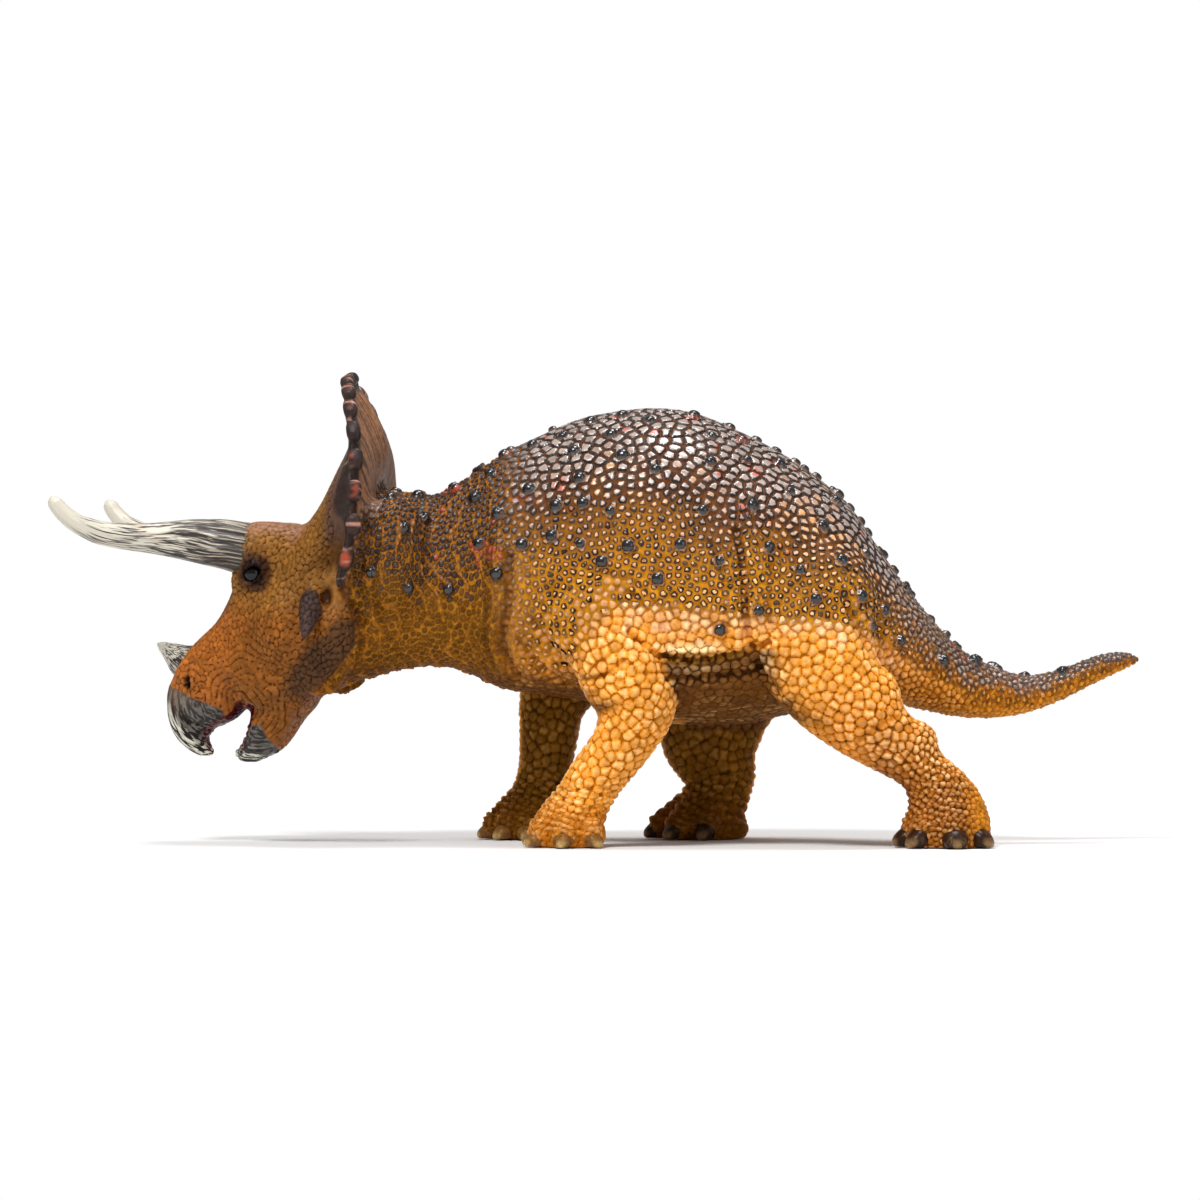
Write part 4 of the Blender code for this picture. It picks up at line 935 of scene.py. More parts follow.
CLAW_PAINTS = {
    "front": ((0.20, 0.085, 0.018), (0.62, 0.42, 0.15)),
    "hind": ((0.026, 0.010, 0.004), (0.30, 0.17, 0.07)),
}
PAINTS = {
    "leg": (0.79, 0.285, 0.016),
    "leg_groove": (0.46, 0.135, 0.004),
    # cream: paint of the fold's lip, and the colour of the dry brush and painted highlight on the legs' scales
    "cream": (1.0, 0.72, 0.36),
    # inner: dark brown of the legs' inner sides, partly their paint and partly painted shade
    "inner": (0.19, 0.072, 0.001),
    "flank": (0.74, 0.36, 0.15),
    "flank_groove": (0.58, 0.235, 0.010),
    "ring": (0.008, 0.006, 0.007),
    # back: grey-brown of the plates on the back, partly their paint and partly a painted sheen
    "back": (0.30, 0.225, 0.190),
    "back_groove": (0.14, 0.048, 0.014),
    # belly: brown under the flank, partly the figure's paint and partly painted shade
    "belly": (0.125, 0.044, 0.006),
    "neck": (0.13, 0.048, 0.004),
    "neck_line": (0.38, 0.155, 0.012),
    "neck_bead": (0.046, 0.024, 0.016),
    "neck_ridge": (0.36, 0.13, 0.010),
    "neck_groove": (0.27, 0.092, 0.008),
    "tail": (0.50, 0.185, 0.012),
    "head": (0.33, 0.100, 0.015),
    "cheek": (0.22, 0.072, 0.010),
    "brow": (0.21, 0.088, 0.016),
    "head_groove": (0.045, 0.012, 0.003),
    "jaw_shade": (0.050, 0.024, 0.010),
    "olive_band": (0.24, 0.115, 0.012),
    "olive_groove": (0.10, 0.036, 0.004),
    # the darker grooves of the painted shade on the feet and the hind shank
    "low_leg_shade_groove": (0.13, 0.042, 0.003),
    "horn_skin": (0.105, 0.070, 0.048),
    "lid": (0.040, 0.014, 0.008),
    "socket": (0.012, 0.005, 0.003),
    "frill_edge": (0.085, 0.044, 0.030),
    "frill_edge_groove": (0.02, 0.010, 0.007),
    "beak": (0.018, 0.013, 0.012),
    "beak_root": (0.085, 0.048, 0.028),
    "beak_edge": (0.62, 0.60, 0.50),
    "mouth": (0.060, 0.002, 0.006),
    "frill": (0.25, 0.112, 0.052),
    "rim": (0.028, 0.016, 0.013),
    "brick": (0.45, 0.075, 0.030),
    "pink": (0.50, 0.27, 0.21),
    "knob": (0.007, 0.006, 0.007),
}


def beak_flow(forward, left, height):
    """A space in which the beak's grain is long one way: round the upper beak's hook, along the lower's edge."""
    upper = forward > 0.6 * height + 10.6
    centre = np.where(upper, 24.5, 16.0), np.where(upper, 28.0, 44.0)
    radius = np.hypot(forward - centre[0], height - centre[1])
    angle = np.arctan2(height - centre[1], forward - centre[0])
    return np.stack((radius, left * 0.7, angle * np.where(upper, 1.2, 2.0)), 1)


def streaks(forward, left, height):
    """Shallow grain pressed into the beak."""
    return waves(beak_flow(forward, left, height) * (2.0, 1.4, 1.2), 1.7, 21)


def painted(regions, tone, knob, red_knob):
    """The paint of each point: on the scales, in the valleys between them, and how strong their rims are.

    It goes in the order a painter works: base coats, airbrush, wash and dabs, with painted shade laid in under the
    belly, on the legs' inner sides and on the feet.
    """
    x, _, z = regions.points.T
    forward, left, height = regions.head_place.T
    cloud = waves(regions.points, 16, 11)
    patch = waves(regions.points, 6, 12)
    level = regions.level + 0.05 * cloud
    speckle = (1 + 0.16 * tone)[:, None]

    low_flank = smoothstep(0.34, 0.05, regions.level)
    flank = mix(PAINTS["flank"], np.array(PAINTS["leg"]) * 0.85, 0.6 * low_flank) * speckle
    start = 0.50 + 0.14 * smoothstep(76, 92, x)
    dark = smoothstep(start, start + 0.30, level + 0.16 * tone)
    face = mix(flank, np.array(PAINTS["back"]) * speckle, dark)
    wash = mix(PAINTS["flank_groove"], PAINTS["back_groove"], smoothstep(0.42, 0.75, level))
    floor = 0.22 - 0.09 * smoothstep(54, 44, x)
    rim = smoothstep(floor, floor + 0.12, level + 0.12 * tone) * (0.92 + 0.08 * tone)
    rim = rim * (1 - 0.85 * smoothstep(0.05, 0.6, regions.leg))

    bead = smoothstep(0.42, 0.68, level + 0.24 * tone)
    neck = mix(np.array(PAINTS["neck"]) * speckle, np.array(PAINTS["neck_bead"]) * speckle, bead)
    neck_wash = mix(PAINTS["neck_line"], PAINTS["neck_groove"], smoothstep(0.45, 0.85, level))
    face, wash = mix(face, neck, regions.neck), mix(wash, neck_wash, regions.neck)
    rim = rim * (1 - regions.neck * (1 - 0.6 * smoothstep(0.45, 0.6, level)))

    tail_dark = smoothstep(0.42, 0.80, level + 0.18 * tone)
    tail = mix(np.array(PAINTS["tail"]) * speckle, np.array(PAINTS["back"]) * 0.75 * speckle, tail_dark)
    tail_wash = mix(PAINTS["leg_groove"], PAINTS["back_groove"], tail_dark)
    face, wash = mix(face, tail, regions.tail), mix(wash, tail_wash, regions.tail)
    rim = rim * (1 - 0.25 * regions.tail)

    low = np.maximum(smoothstep(27, 10, z + 1.5 * cloud) * smoothstep(98, 108, x), 0.35 * smoothstep(9, 4, z))
    shaded_leg = np.array(PAINTS["leg"]) * (0.48, 0.42, 0.4)
    leg = mix(np.array(PAINTS["leg"]) * (1 + 0.10 * tone)[:, None], shaded_leg, low)
    leg_wash = mix(PAINTS["leg_groove"], np.array(PAINTS["leg_groove"]) * 0.3, low)
    over_leg = regions.leg * smoothstep(0.40, 0.27, level + 0.1 * tone)
    face, wash = mix(face, leg, over_leg), mix(wash, leg_wash, over_leg)
    rim = rim * (1 - over_leg)
    # The legs' inner sides: their own brown with painted shade.
    face = mix(face, PAINTS["inner"] * speckle, regions.inner_side_shade)
    wash = mix(wash, np.array(PAINTS["inner"]) * 0.45, regions.inner_side_shade)
    # Under the flank's fold between the legs the belly's brown is partly its own paint and partly painted shade; on the
    # faces turned down it is painted shade.
    fold_height = np.interp(x, *np.array(BELLY_LINE).T)
    past_elbow = smoothstep(0, 1.2, x - 62.3 - 0.35 * (38 - z)) * smoothstep(88, 83, x)
    below = smoothstep(0.4, -0.6, z - fold_height + 0.2 * regions.wobble) * past_elbow
    below = np.maximum(below * (z > 22), regions.under)
    lip = np.exp(-(((z - 0.06 * (x - 62) - 38.5) / 0.7) ** 2))
    lip = lip * smoothstep(63, 65, x) * smoothstep(76, 72, x) * regions.side
    band = smoothstep(38.2, 37.4, z - 0.05 * (x - 62)) * smoothstep(35.0, 36.0, z)
    band = band * past_elbow * smoothstep(86, 80, x) * regions.side
    face, wash = mix(face, PAINTS["olive_band"], band), mix(wash, PAINTS["olive_groove"], band)
    regions.band = band
    rim = rim * (1 - band)
    face, wash = mix(face, PAINTS["cream"], lip), mix(wash, PAINTS["leg"], lip)
    face = mix(face, PAINTS["belly"] * speckle, below)
    wash = mix(wash, np.array(PAINTS["belly"]) * 0.4, below)
    rim = rim * (1 - below)
    # Painted shade: the feet, and the lower part of the hind leg that stands back, take a darker copy of their paint
    # and darker grooves.
    low_leg_shade = np.maximum(regions.foot, smoothstep(88, 98, x) * smoothstep(38, 26, z)) * regions.leg
    face = mix(face, face * (0.84, 0.76, 0.62), low_leg_shade)
    wash = mix(wash, PAINTS["low_leg_shade_groove"], 0.7 * low_leg_shade)
    ridge_paint = mix(PAINTS["neck_ridge"], np.array(PAINTS["flank_groove"]), smoothstep(40, 60, x))
    ridge = smoothstep(0.35, 0.75, regions.ridge)
    face, wash = mix(face, ridge_paint, 0.55 * ridge), mix(wash, ridge_paint, 0.55 * ridge)
    rim = rim * (1 - 0.7 * ridge)

    head = mix(PAINTS["head"], PAINTS["cheek"], smoothstep(24, 15, forward + 1.5 * cloud))
    head = mix(head, PAINTS["brow"], smoothstep(42, 52, height + 1.5 * cloud)) * (1 + 0.14 * tone)[:, None]
    root = smoothstep(14.5, 19.5, forward) * smoothstep(53.5, 56.5, height)
    head = mix(head, PAINTS["horn_skin"], 0.75 * root)
    crown = smoothstep(0.45, 0.85, regions.normals[:, 2]) * smoothstep(56, 60, height)
    head = mix(head, np.array(PAINTS["back"]) * (0.9, 0.62, 0.5), 0.6 * crown)
    shade = np.exp(-(((forward + 1.4 - 0.9 * (39 - height)) / 5.0) ** 2) - ((height - 37.5) / 8.5) ** 2)
    head = mix(head, PAINTS["jaw_shade"], 0.9 * smoothstep(0.08, 0.55, shade + 0.05 * patch))
    socket = np.hypot(forward - EYE[0] + 0.25, height - EYE[2]) + 0.35 * patch
    head = mix(head, PAINTS["lid"], 0.85 * smoothstep(4.8, 2.6, socket) * (np.abs(left) > 6))
    head = mix(head, PAINTS["socket"], smoothstep(2.5, 1.7, socket) * (np.abs(left) > 6))
    # Painted shade: the pit in the side of the head takes the near-black of the eye socket.
    head = mix(head, PAINTS["socket"], 0.6 * regions.pit)
    head_wash = mix(PAINTS["head_groove"], head * 0.45, np.full(len(x), 0.4))
    face, wash = mix(face, head, regions.head), mix(wash, head_wash, regions.head)
    rim = rim * (1 - regions.head)

    horny = mix(PAINTS["beak"], PAINTS["beak_root"], smoothstep(25.0, 31.0, height + 0.6 * patch))
    face, wash = mix(face, horny, regions.beak), mix(wash, horny, regions.beak)
    lining = np.minimum(line_gap(forward, height, MOUTH_ROOF), line_gap(forward, height, MOUTH_FLOOR) - 0.3)
    mouth = smoothstep(1.15, 0.75, lining + 0.15 * patch) * regions.head
    face, wash = mix(face, PAINTS["mouth"], mouth), mix(wash, PAINTS["mouth"], mouth)

    fibre = waves(np.stack((regions.turn * 46, regions.reach * 4, x * 0), 1), 2.2, 23)
    frill = mix(PAINTS["frill"], np.array(PAINTS["frill"]) * 0.3, smoothstep(0.1, 1.0, fibre))
    face, wash = mix(face, frill, regions.rear), mix(wash, frill * 0.4, regions.rear)
    edge = smoothstep(0.60, 0.80, regions.reach + 0.03 * patch) * smoothstep(-0.5, 0.5, regions.gap)
    edge = edge * smoothstep(7, 5, regions.gap) * smoothstep(56, 62, height)
    face = mix(face, PAINTS["frill_edge"], 0.85 * edge)
    wash = mix(wash, PAINTS["frill_edge_groove"], 0.85 * edge)
    top = smoothstep(1.02, 1.05, regions.reach) * smoothstep(0.0, 1.0, patch + 0.5 * fibre)
    rim_paint = mix(PAINTS["rim"], PAINTS["brick"], 0.8 * top)
    rim_paint = mix(rim_paint, PAINTS["pink"], 0.6 * smoothstep(1.1, 1.9, fibre + 0.5 * patch))
    face, wash = mix(face, rim_paint, regions.rim), mix(wash, np.array(PAINTS["rim"]) * 0.6, regions.rim)
    rim = rim * (1 - regions.plate)

    start, end = np.array(CHEEK_SPIKE[0]), np.array(CHEEK_SPIKE[1])
    place_now = np.stack((forward, np.abs(left), height), 1) - start
    share = np.clip(place_now @ (end - start) / ((end - start) @ (end - start)), 0, 1.2)
    off = np.linalg.norm(place_now - share[:, None] * (end - start), axis=1)
    spike = smoothstep(2.6, 2.2, off) * smoothstep(16.3, 16.9, np.abs(left))
    face, wash = mix(face, np.array(PAINTS["rim"]) * 1.5, spike), mix(wash, PAINTS["rim"], spike)
    face, wash = mix(face, PAINTS["ring"], regions.nostril), mix(wash, PAINTS["ring"], regions.nostril)

    dab = smoothstep(1.8, 2.1, patch + 0.6 * tone) * smoothstep(0.45, 0.55, level)
    dab = dab * (1 - regions.head) * (1 - regions.leg)
    face = mix(face, PAINTS["brick"], 0.7 * dab * (1 - regions.rear))
    knob_paint = mix(PAINTS["knob"], PAINTS["brick"], red_knob)
    face, wash = mix(face, knob_paint, knob), mix(wash, knob_paint, knob)
    rim = rim * (1 - knob)
    shift = (1 + 0.07 * cloud)[:, None]
    return face * shift, wash * shift, np.clip(rim, 0, 1)


def knob_sites(points, regions, settings):
    """Where the black knobs stand: scattered over the upper body, and in a row along the crest."""
    x, y, z = points.T
    free = (regions.head < 0.2) & (regions.plate < 0.2) & (regions.leg < 0.9)
    dark_hide = regions.level + 0.05 * regions.wobble > 0.42
    high = np.nonzero(free & dark_hide & (z > 34) & (x > -2) & (x < 146))[0]
    gap = settings.knob_gap * (1 + 0.15 * waves(points[high], 30, 3))
    scattered = high[spread_seeds(points[high], gap, 17)]
    random = np.random.default_rng(4)
    scattered = scattered[random.uniform(0, 1, len(scattered)) < 0.86]
    crest = (np.abs(y - tail_sway(x)) < 0.8) & (regions.level > 0.9)
    ridge = np.nonzero(free & crest & (x > 2) & (x < 140) & ((x < 34) | (x > 76)))[0]
    crest = ridge[spread_seeds(points[ridge], np.full(len(ridge), 4.3), 18)]
    sites = np.concatenate((points[crest], points[scattered]))
    radius = np.concatenate((np.full(len(crest), 1.15), random.uniform(1.0, 1.35, len(scattered))))
    height = np.concatenate((random.uniform(0.6, 0.9, len(crest)), 0.85 * radius[len(crest):]))
    return sites, radius, height, random.uniform(0, 1, len(sites))


def hide_surface(settings):
    """The whole hide in one skin: its points, quads, and what the shader needs at each point."""
    legs = ((FRONT_LEFT, LEFT), (FRONT_RIGHT, RIGHT), (HIND_LEFT, LEFT), (HIND_RIGHT, RIGHT))
    shapes = [trunk_form(), frill_form()]
    shapes += [leg_form(table, side) for table, side in legs]
    shapes += muscle_forms()
    shapes += head_forms()
    for foot in FEET:
        shapes += foot_forms(foot)
    points, quads = voxel_union(*joined(shapes), FORM_VOXEL)
    head_place = body_to_head(points)
    fine = (head_place[:, 0] > 12) & (head_place[:, 2] < 32)
    fine |= (points[:, 2] < 9) & (points[:, 0] > 26)
    weight = np.where(fine, 0.2, 0.5)
    points = smoothed(points, quads, weight, 10)
    knobs = joined(rim_knob_forms() + spike_forms())
    size = SKIN_VOXEL * 1
    triangles = np.vstack((quads[:, :3], quads[:, (0, 2, 3)]))
    both = joined([(points, triangles), knobs])
    points, quads = voxel_union(*both, size)
    points = smoothed(points, quads, np.full(len(points), 0.5), 2)

    normals = surface_normals(points, quads)
    points = points + folds(Regions(points, normals))[:, None] * normals
    normals = surface_normals(points, quads)
    regions = Regions(points, normals)
    folds(regions)

    spacing = scale_spacing(regions) * settings.scale_size / 2
    space = stretched(regions)
    seeds = evened(space[::3], space[spread_seeds(space, spacing * 0.84, 31)], spacing.max() * 1.25)
    gaps, which = nearest_two(space, seeds, spacing.max() * 1.25)
    between = np.linalg.norm(seeds[which[:, 0]] - seeds[which[:, 1]], axis=1)
    edge = (gaps[:, 1] ** 2 - gaps[:, 0] ** 2) / (2 * np.maximum(between, 0.2))
    tone = np.random.default_rng(7).uniform(-1, 1, len(seeds))[which[:, 0]]
    brick, shade, there = mouth_bricks(regions)
    edge, tone = np.where(there, brick, edge), np.where(there, shade, tone)
    outlying = np.where(there, 0.4, gaps[:, 0])

    sites, radius, height, luck = knob_sites(points, regions, settings)
    knob_gaps, nearest = nearest_two(points, sites, 2.2)
    apart = knob_gaps[:, 0] / radius[nearest[:, 0]]
    knob = smoothstep(1.06, 0.94, apart)
    bump = height[nearest[:, 0]] * np.sqrt(np.clip(1 - apart**2, 0, 1)) ** 0.8
    red_knob = smoothstep(0.92, 0.96, luck[nearest[:, 0]]) * smoothstep(0.5, 0.95, apart)

    valley = regions.blend(0.23, 0.15, 0.06, 0.06, 0.12, 0.15, 0.06, 0.02, 0.06)
    roundness = regions.blend(0.76, 1.5, 1.25, 1.2, 0.85, 0.85, 1.3, 1.2, 1.6)
    shoulder = regions.blend(0.40, 0.36, 0.80, 0.5, 0.5, 0.6, 0.22, 0.5, 0.5)
    depth = regions.blend(0.48, 0.46, 0.52, 0.22, 0.36, 0.42, 0.36, 0.08, 0.26) * settings.scale_depth / 0.34
    depth = depth * (1 - regions.beak) * (1 - 0.7 * regions.rim) * (1 + 0.18 * tone)
    cell = np.minimum(edge - valley, roundness * (1 + 0.12 * tone) - outlying)
    share = np.clip(cell / shoulder, 0, 1)
    rise = np.sqrt(1 - (1 - share) ** 2)
    quiet = smoothstep(1.5, 1.0, apart)
    streak = streaks(*regions.head_place.T)
    lift = depth * (rise - 0.8) * (1 - quiet) - 0.25 * quiet * (1 - knob) + bump
    lift = lift * (1 - regions.beak) + 0.10 * streak * regions.beak
    points = points + lift[:, None] * normals
    points[:, 2] = np.maximum(points[:, 2], 0.0)

    face, wash, rim = painted(regions, tone, knob, red_knob)
    normals = surface_normals(points, quads)
    # Hollows are darkened: the fine ones between the scales as the figure's own wash, the broad ones of the folds as
    # painted shade.
    soft = smoothed(points, quads, np.full(len(points), 0.5), 12)
    softer = smoothed(soft, quads, np.full(len(points), 0.5), 30)
    fine_hollow = ((soft - points) * normals).sum(1)
    broad_hollow = ((softer - soft) * normals).sum(1)
    deep = np.clip(0.7 * smoothstep(0.02, 0.22, fine_hollow) + 0.6 * smoothstep(0.04, 0.45, broad_hollow), 0, 1)
    deep *= regions.blend(0.7, 1.0, 0.75, 1.0, 0.8, 0.6, 1.0, 0.9, 1.0)
    hollow_wash_and_shade = mix((1, 1, 1), (0.40, 0.25, 0.10), deep)
    # Raised tops are lightened: a little everywhere as dry-brushed paint, and on the legs more where they turn up and
    # to the figure's left, as a painted highlight.
    proud = smoothstep(0.03, 0.18, -fine_hollow) * (1 - knob) * (1 - regions.beak)
    sunny = smoothstep(-0.4, 0.7, normals[:, 2] - 0.5 * normals[:, 1])
    light = (0.40 + 0.45 * regions.leg * sunny) * proud * (0.6 + 0.4 * tone) * (1 - 0.85 * regions.inner_side_shade)
    light *= (1 - regions.band) * (1 - 0.5 * regions.foot)
    pale = mix(face * 1.6, PAINTS["cream"], regions.leg * 0.8)
    face = mix(face, np.minimum(pale, 1), light) * hollow_wash_and_shade
    wash = wash * hollow_wash_and_shade
    cell = np.where(knob + regions.beak + regions.plate > 0.5, 1.0, cell)
    wet = smoothstep(0.35, 0.65, regions.level)
    gloss = regions.blend(0.15 + 0.35 * wet, 0.95, 0.30, 0.15, 0.15 + 0.5 * wet, 0.10 + 0.35 * wet, 0.20, 0.25, 0.05)
    polish = (gloss + (0.85 - gloss) * knob + (0.35 - gloss) * regions.beak) * (1 - 0.8 * regions.inner_side_shade)
    forward, left, height = regions.head_place.T
    outer = np.where(regions.upper_beak, smoothstep(8.6, 10.4, np.hypot(forward - 24.5, height - 28.0)), 1.0)
    edge_height = np.where(regions.upper_beak, 27.0, 17.6)
    cream = regions.beak * (0.15 + 0.85 * outer * smoothstep(1.5, -1.5, height - edge_height + 0.9 * waves(points, 6, 12)))
    layers = {"paint": face, "wash": wash, "cell": cell, "rim": rim, "polish": polish, "cream": cream}
    layers["flow"] = beak_flow(forward, left, height)
    return points, quads, layers


def place(points):
    """Millimetres in the figure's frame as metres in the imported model's frame."""
    return points * MM + ORIGIN


def horn_mesh(name, rows, settings, seed):
    """A grooved horn: rings along its path, pressed in along its length, with a rounded tip.

    The radius at turn u and length v is R(v) (1 - d n(u, v)), where the noise n varies fast with u and
    slowly with v, and fades towards the tip. The horn carries that space, in which its streaks are drawn.
    """
    quick = 1
    rows = through(rows, 260 // quick)
    path, radius = rows[:, :3], rows[:, 3]
    length = np.concatenate(((0,), np.cumsum(np.linalg.norm(np.diff(path, axis=0), axis=1))))
    remaining = length[-1] - length
    radius = radius * np.sqrt(np.clip(1 - (1 - np.clip(remaining / 1.6, 0, 1)) ** 2, 0.002, 1))
    ahead = np.gradient(path, axis=0)
    ahead /= np.linalg.norm(ahead, axis=1)[:, None]
    across = np.cross(ahead, (0, 0, 1.0))
    across /= np.linalg.norm(across, axis=1)[:, None]
    upward = np.cross(across, ahead)
    sides = 168 // quick
    turn = 2 * math.pi * np.arange(sides) / sides
    turns, lengths = np.meshgrid(turn, length, indexing="xy")
    width = 1.15 * rows[:, 3:4] ** 0.5 + np.zeros_like(turns)
    drift = 0.25 * np.sin(lengths * 0.35 + 2 * np.sin(turns))
    flow = np.stack((width * np.cos(turns + drift * 0.3), width * np.sin(turns + drift * 0.3), lengths * 0.014 + seed), -1)
    grain = waves(flow.reshape(-1, 3) * (1, 1, 2), 0.8, seed).reshape(turns.shape)
    fade = smoothstep(2.5, 16, remaining)[:, None]
    reach = radius[:, None] * (1 - 0.035 * fade * grain)
    rings = path[:, None] + reach[..., None] * (
        np.cos(turns)[..., None] * across[:, None] + np.sin(turns)[..., None] * upward[:, None]
    )
    points, faces = outward(*tube(head_to_body(rings)))
    mesh = mesh_from(name, place(points), faces)
    share = (remaining / length[-1])[:, None] + 0.03 * np.cos(3 * turns)
    ivory = np.array(settings.horn_colour)
    paint = mix(ivory * (0.55, 0.47, 0.40), ivory, smoothstep(0.95, 0.45, share).ravel())
    cloud = waves(points[: turns.size], 7, seed + 3)
    paint = mix(paint, (0.42, 0.22, 0.07), 0.28 * smoothstep(0.5, 1.6, cloud) * smoothstep(0.9, 0.6, share).ravel())
    streak = 0.25 * smoothstep(0.05, 0.38, share) + 0.75 * smoothstep(0.28, 0.85, share)
    for layer, width, values in (
        ("paint", 4, paint),
        ("flow", 3, flow.reshape(-1, 3)),
        ("streak", 1, streak.reshape(-1, 1)),
    ):
        values = np.vstack((values, values[:1], values[-1:]))
        if width == 4:
            values = np.hstack((values, np.ones((len(values), 1))))
        attribute(mesh, layer, width, values)
    return mesh


def eye_mesh(name, side):
    """A glossy bead."""
    forward, out, height, radius = EYE
    points, faces = ellipsoid((0, 0, 0), (radius, radius, radius), rings=30, sides=48)
    points = head_to_body(points + np.array((forward, side * out, height)))
    return mesh_from(name, place(points), outward(points, faces)[1])


def claw_mesh(name, foot, colours):
    """The hoof-like claws of one foot: blunt cones that lie on the ground, dark with worn pale edges."""
    side, (along, out, _, _), toes, _, size = FEET[foot]
    shapes, paints = [], []
    for toe in toes:
        _, step = toe_path(foot, toe)
        start = np.array((along, side * out)) + 0.95 * toe[1] * step
        path = []
        for go, rise, wide, tall in (
            (-0.9, 0.92, 0.90, 0.90),
            (-0.3, 0.88, 1.10, 1.02),
            (0.3, 0.72, 1.14, 0.92),
            (0.85, 0.50, 1.00, 0.70),
            (1.25, 0.32, 0.66, 0.42),
            (1.42, 0.24, 0.10, 0.10),
        ):
            x, y = start + go * size * step
            path.append((x, y, rise * size, wide * size, tall * size))
        points, faces = swept(path, sides=36, samples=50)
        points[:, 2] = np.maximum(points[:, 2], 0.02)
        go = ((points[:, :2] - start) * step).sum(1) / size
        low = smoothstep(1.1, 0.2, points[:, 2] / size)
        streak = waves(points * (1, 1, 0.5), 0.9, 41)
        pale = np.clip(0.8 * smoothstep(1.0, 1.4, go) * low + 0.12 * smoothstep(0.8, 1.6, streak), 0, 1)
        paints.append(mix(colours[0], colours[1], pale))
        shapes.append((points, faces))
    points, faces = joined(shapes)
    mesh = mesh_from(name, place(points), faces)
    paint = np.vstack(paints)
    attribute(mesh, "paint", 4, np.hstack((paint, np.ones((len(paint), 1)))))
    return mesh


def prism(outline, low, high, axis):
    """A closed prism in metres: an outline in two axes, drawn out along the third."""
    outline = np.array(outline, float)
    others = [k for k in range(3) if k != axis]
    rings = np.zeros((2, len(outline), 3))
    rings[:, :, others] = outline
    rings[0, :, axis], rings[1, :, axis] = low, high
    points, faces = outward(*tube(rings))
    return points, faces


def tool(points, faces):
    """A cutter as an object, from millimetres; it leaves flat faces, with sharp edges to the skin."""
    mesh = mesh_from("tool", place(points), faces)
    mesh.shade_flat()
    thing = bpy.data.objects.new("tool", mesh)
    bpy.context.scene.collection.objects.link(thing)
    return thing


def mend_paint(mesh):
    """Gives the points that a cut has made the paint and finish of the skin round them."""
    count = len(mesh.vertices)
    columns = []
    for name, width in HIDE_LAYERS:
        column = np.empty(count * width, np.float32)
        mesh.attributes[name].data.foreach_get(LAYER_KINDS[width][1], column)
        columns.append(column.reshape(count, width))
    values = np.hstack(columns)
    good = np.abs(values[:, 3] - SKIN_MARK) < 0.1
    ends = np.empty(len(mesh.edges) * 2, np.int32)
    mesh.edges.foreach_get("vertices", ends)
    here, there = np.hstack((ends.reshape(-1, 2).T, ends.reshape(-1, 2).T[::-1]))
    for _ in range(3):
        wanted = good[there] & ~good[here]
        number = np.bincount(here[wanted], minlength=count)
        found = number > 0
        for k in range(values.shape[1]):
            values[found, k] = (np.bincount(here[wanted], values[there[wanted], k], count)[found]) / number[found]
        good |= found
    start = 0
    for name, width in HIDE_LAYERS:
        column = np.ascontiguousarray(values[:, start : start + width])
        mesh.attributes[name].data.foreach_set(LAYER_KINDS[width][1], column.ravel())
        start += width


def combined(mesh, cutter, operation):
    """A new mesh: this one cut by a tool, or what the tool takes from it."""
    thing = bpy.data.objects.new("work", mesh)
    bpy.context.scene.collection.objects.link(thing)
    cut = thing.modifiers.new("cut", "BOOLEAN")
    cut.operation, cut.object, cut.solver = operation, cutter, "MANIFOLD"
    depsgraph = bpy.context.evaluated_depsgraph_get()
    result = bpy.data.meshes.new_from_object(thing.evaluated_get(depsgraph))
    bpy.data.objects.remove(thing)
    if not len(result.vertices):
        raise RuntimeError("a cut of the hide left nothing")
    return result


def limb_tool(profile, side, hip):
    """Takes a leg off the body: its outline in side view, and a slanting cut in the groin or armpit.

    The cut runs from low inside the belly up to the hip or shoulder, at the given height.
    """
    drawn = tool(*prism(profile, -50, 50, axis=1))
    slant = ((6.5, -5.0), (46.0, -5.0), (46.0, hip[1]), hip, (8.0, 24.0), (6.5, 24.0))
    slanted = tool(*prism([(side * y, z) for y, z in slant], -40, 180, axis=0))
    mesh = combined(drawn.data, slanted, "INTERSECT")
    bpy.data.objects.remove(drawn)
    bpy.data.objects.remove(slanted)
    thing = bpy.data.objects.new("tool", mesh)
    bpy.context.scene.collection.objects.link(thing)
    return thing


def head_prism(outline, half_width):
    """A prism whose outline is given forward and up in the head's frame."""
    points, faces = prism(outline, -half_width, half_width, axis=1)
    return outward(head_to_body(points), faces)


# Outlines, in side view, of the cuts that part the legs, the jaw and the head
FRONT_LEFT_CUT = ((36, -5), (36, 24), (40, 60), (70, 60), (72, 24), (62, -5))
FRONT_RIGHT_CUT = ((24, -5), (24, 24), (34, 60), (62, 60), (60, 24), (52, -5))
HIND_LEFT_CUT = ((78, -5), (76, 62), (106, 62), (106.5, 38), (109, 29), (132, 20), (132, -5))
HIND_RIGHT_CUT = ((58, -5), (60, 24), (72, 62), (106, 62), (104, 24), (90, -5))
JAW_CUT = ((6, 4), (24.4, 4), (24.4, 21), (22.6, 25.0), (20.4, 27.4), (6, 27.4))
HEAD_CUT = ((-3, -5), (70, -5), (70, 110), (-3, 110))


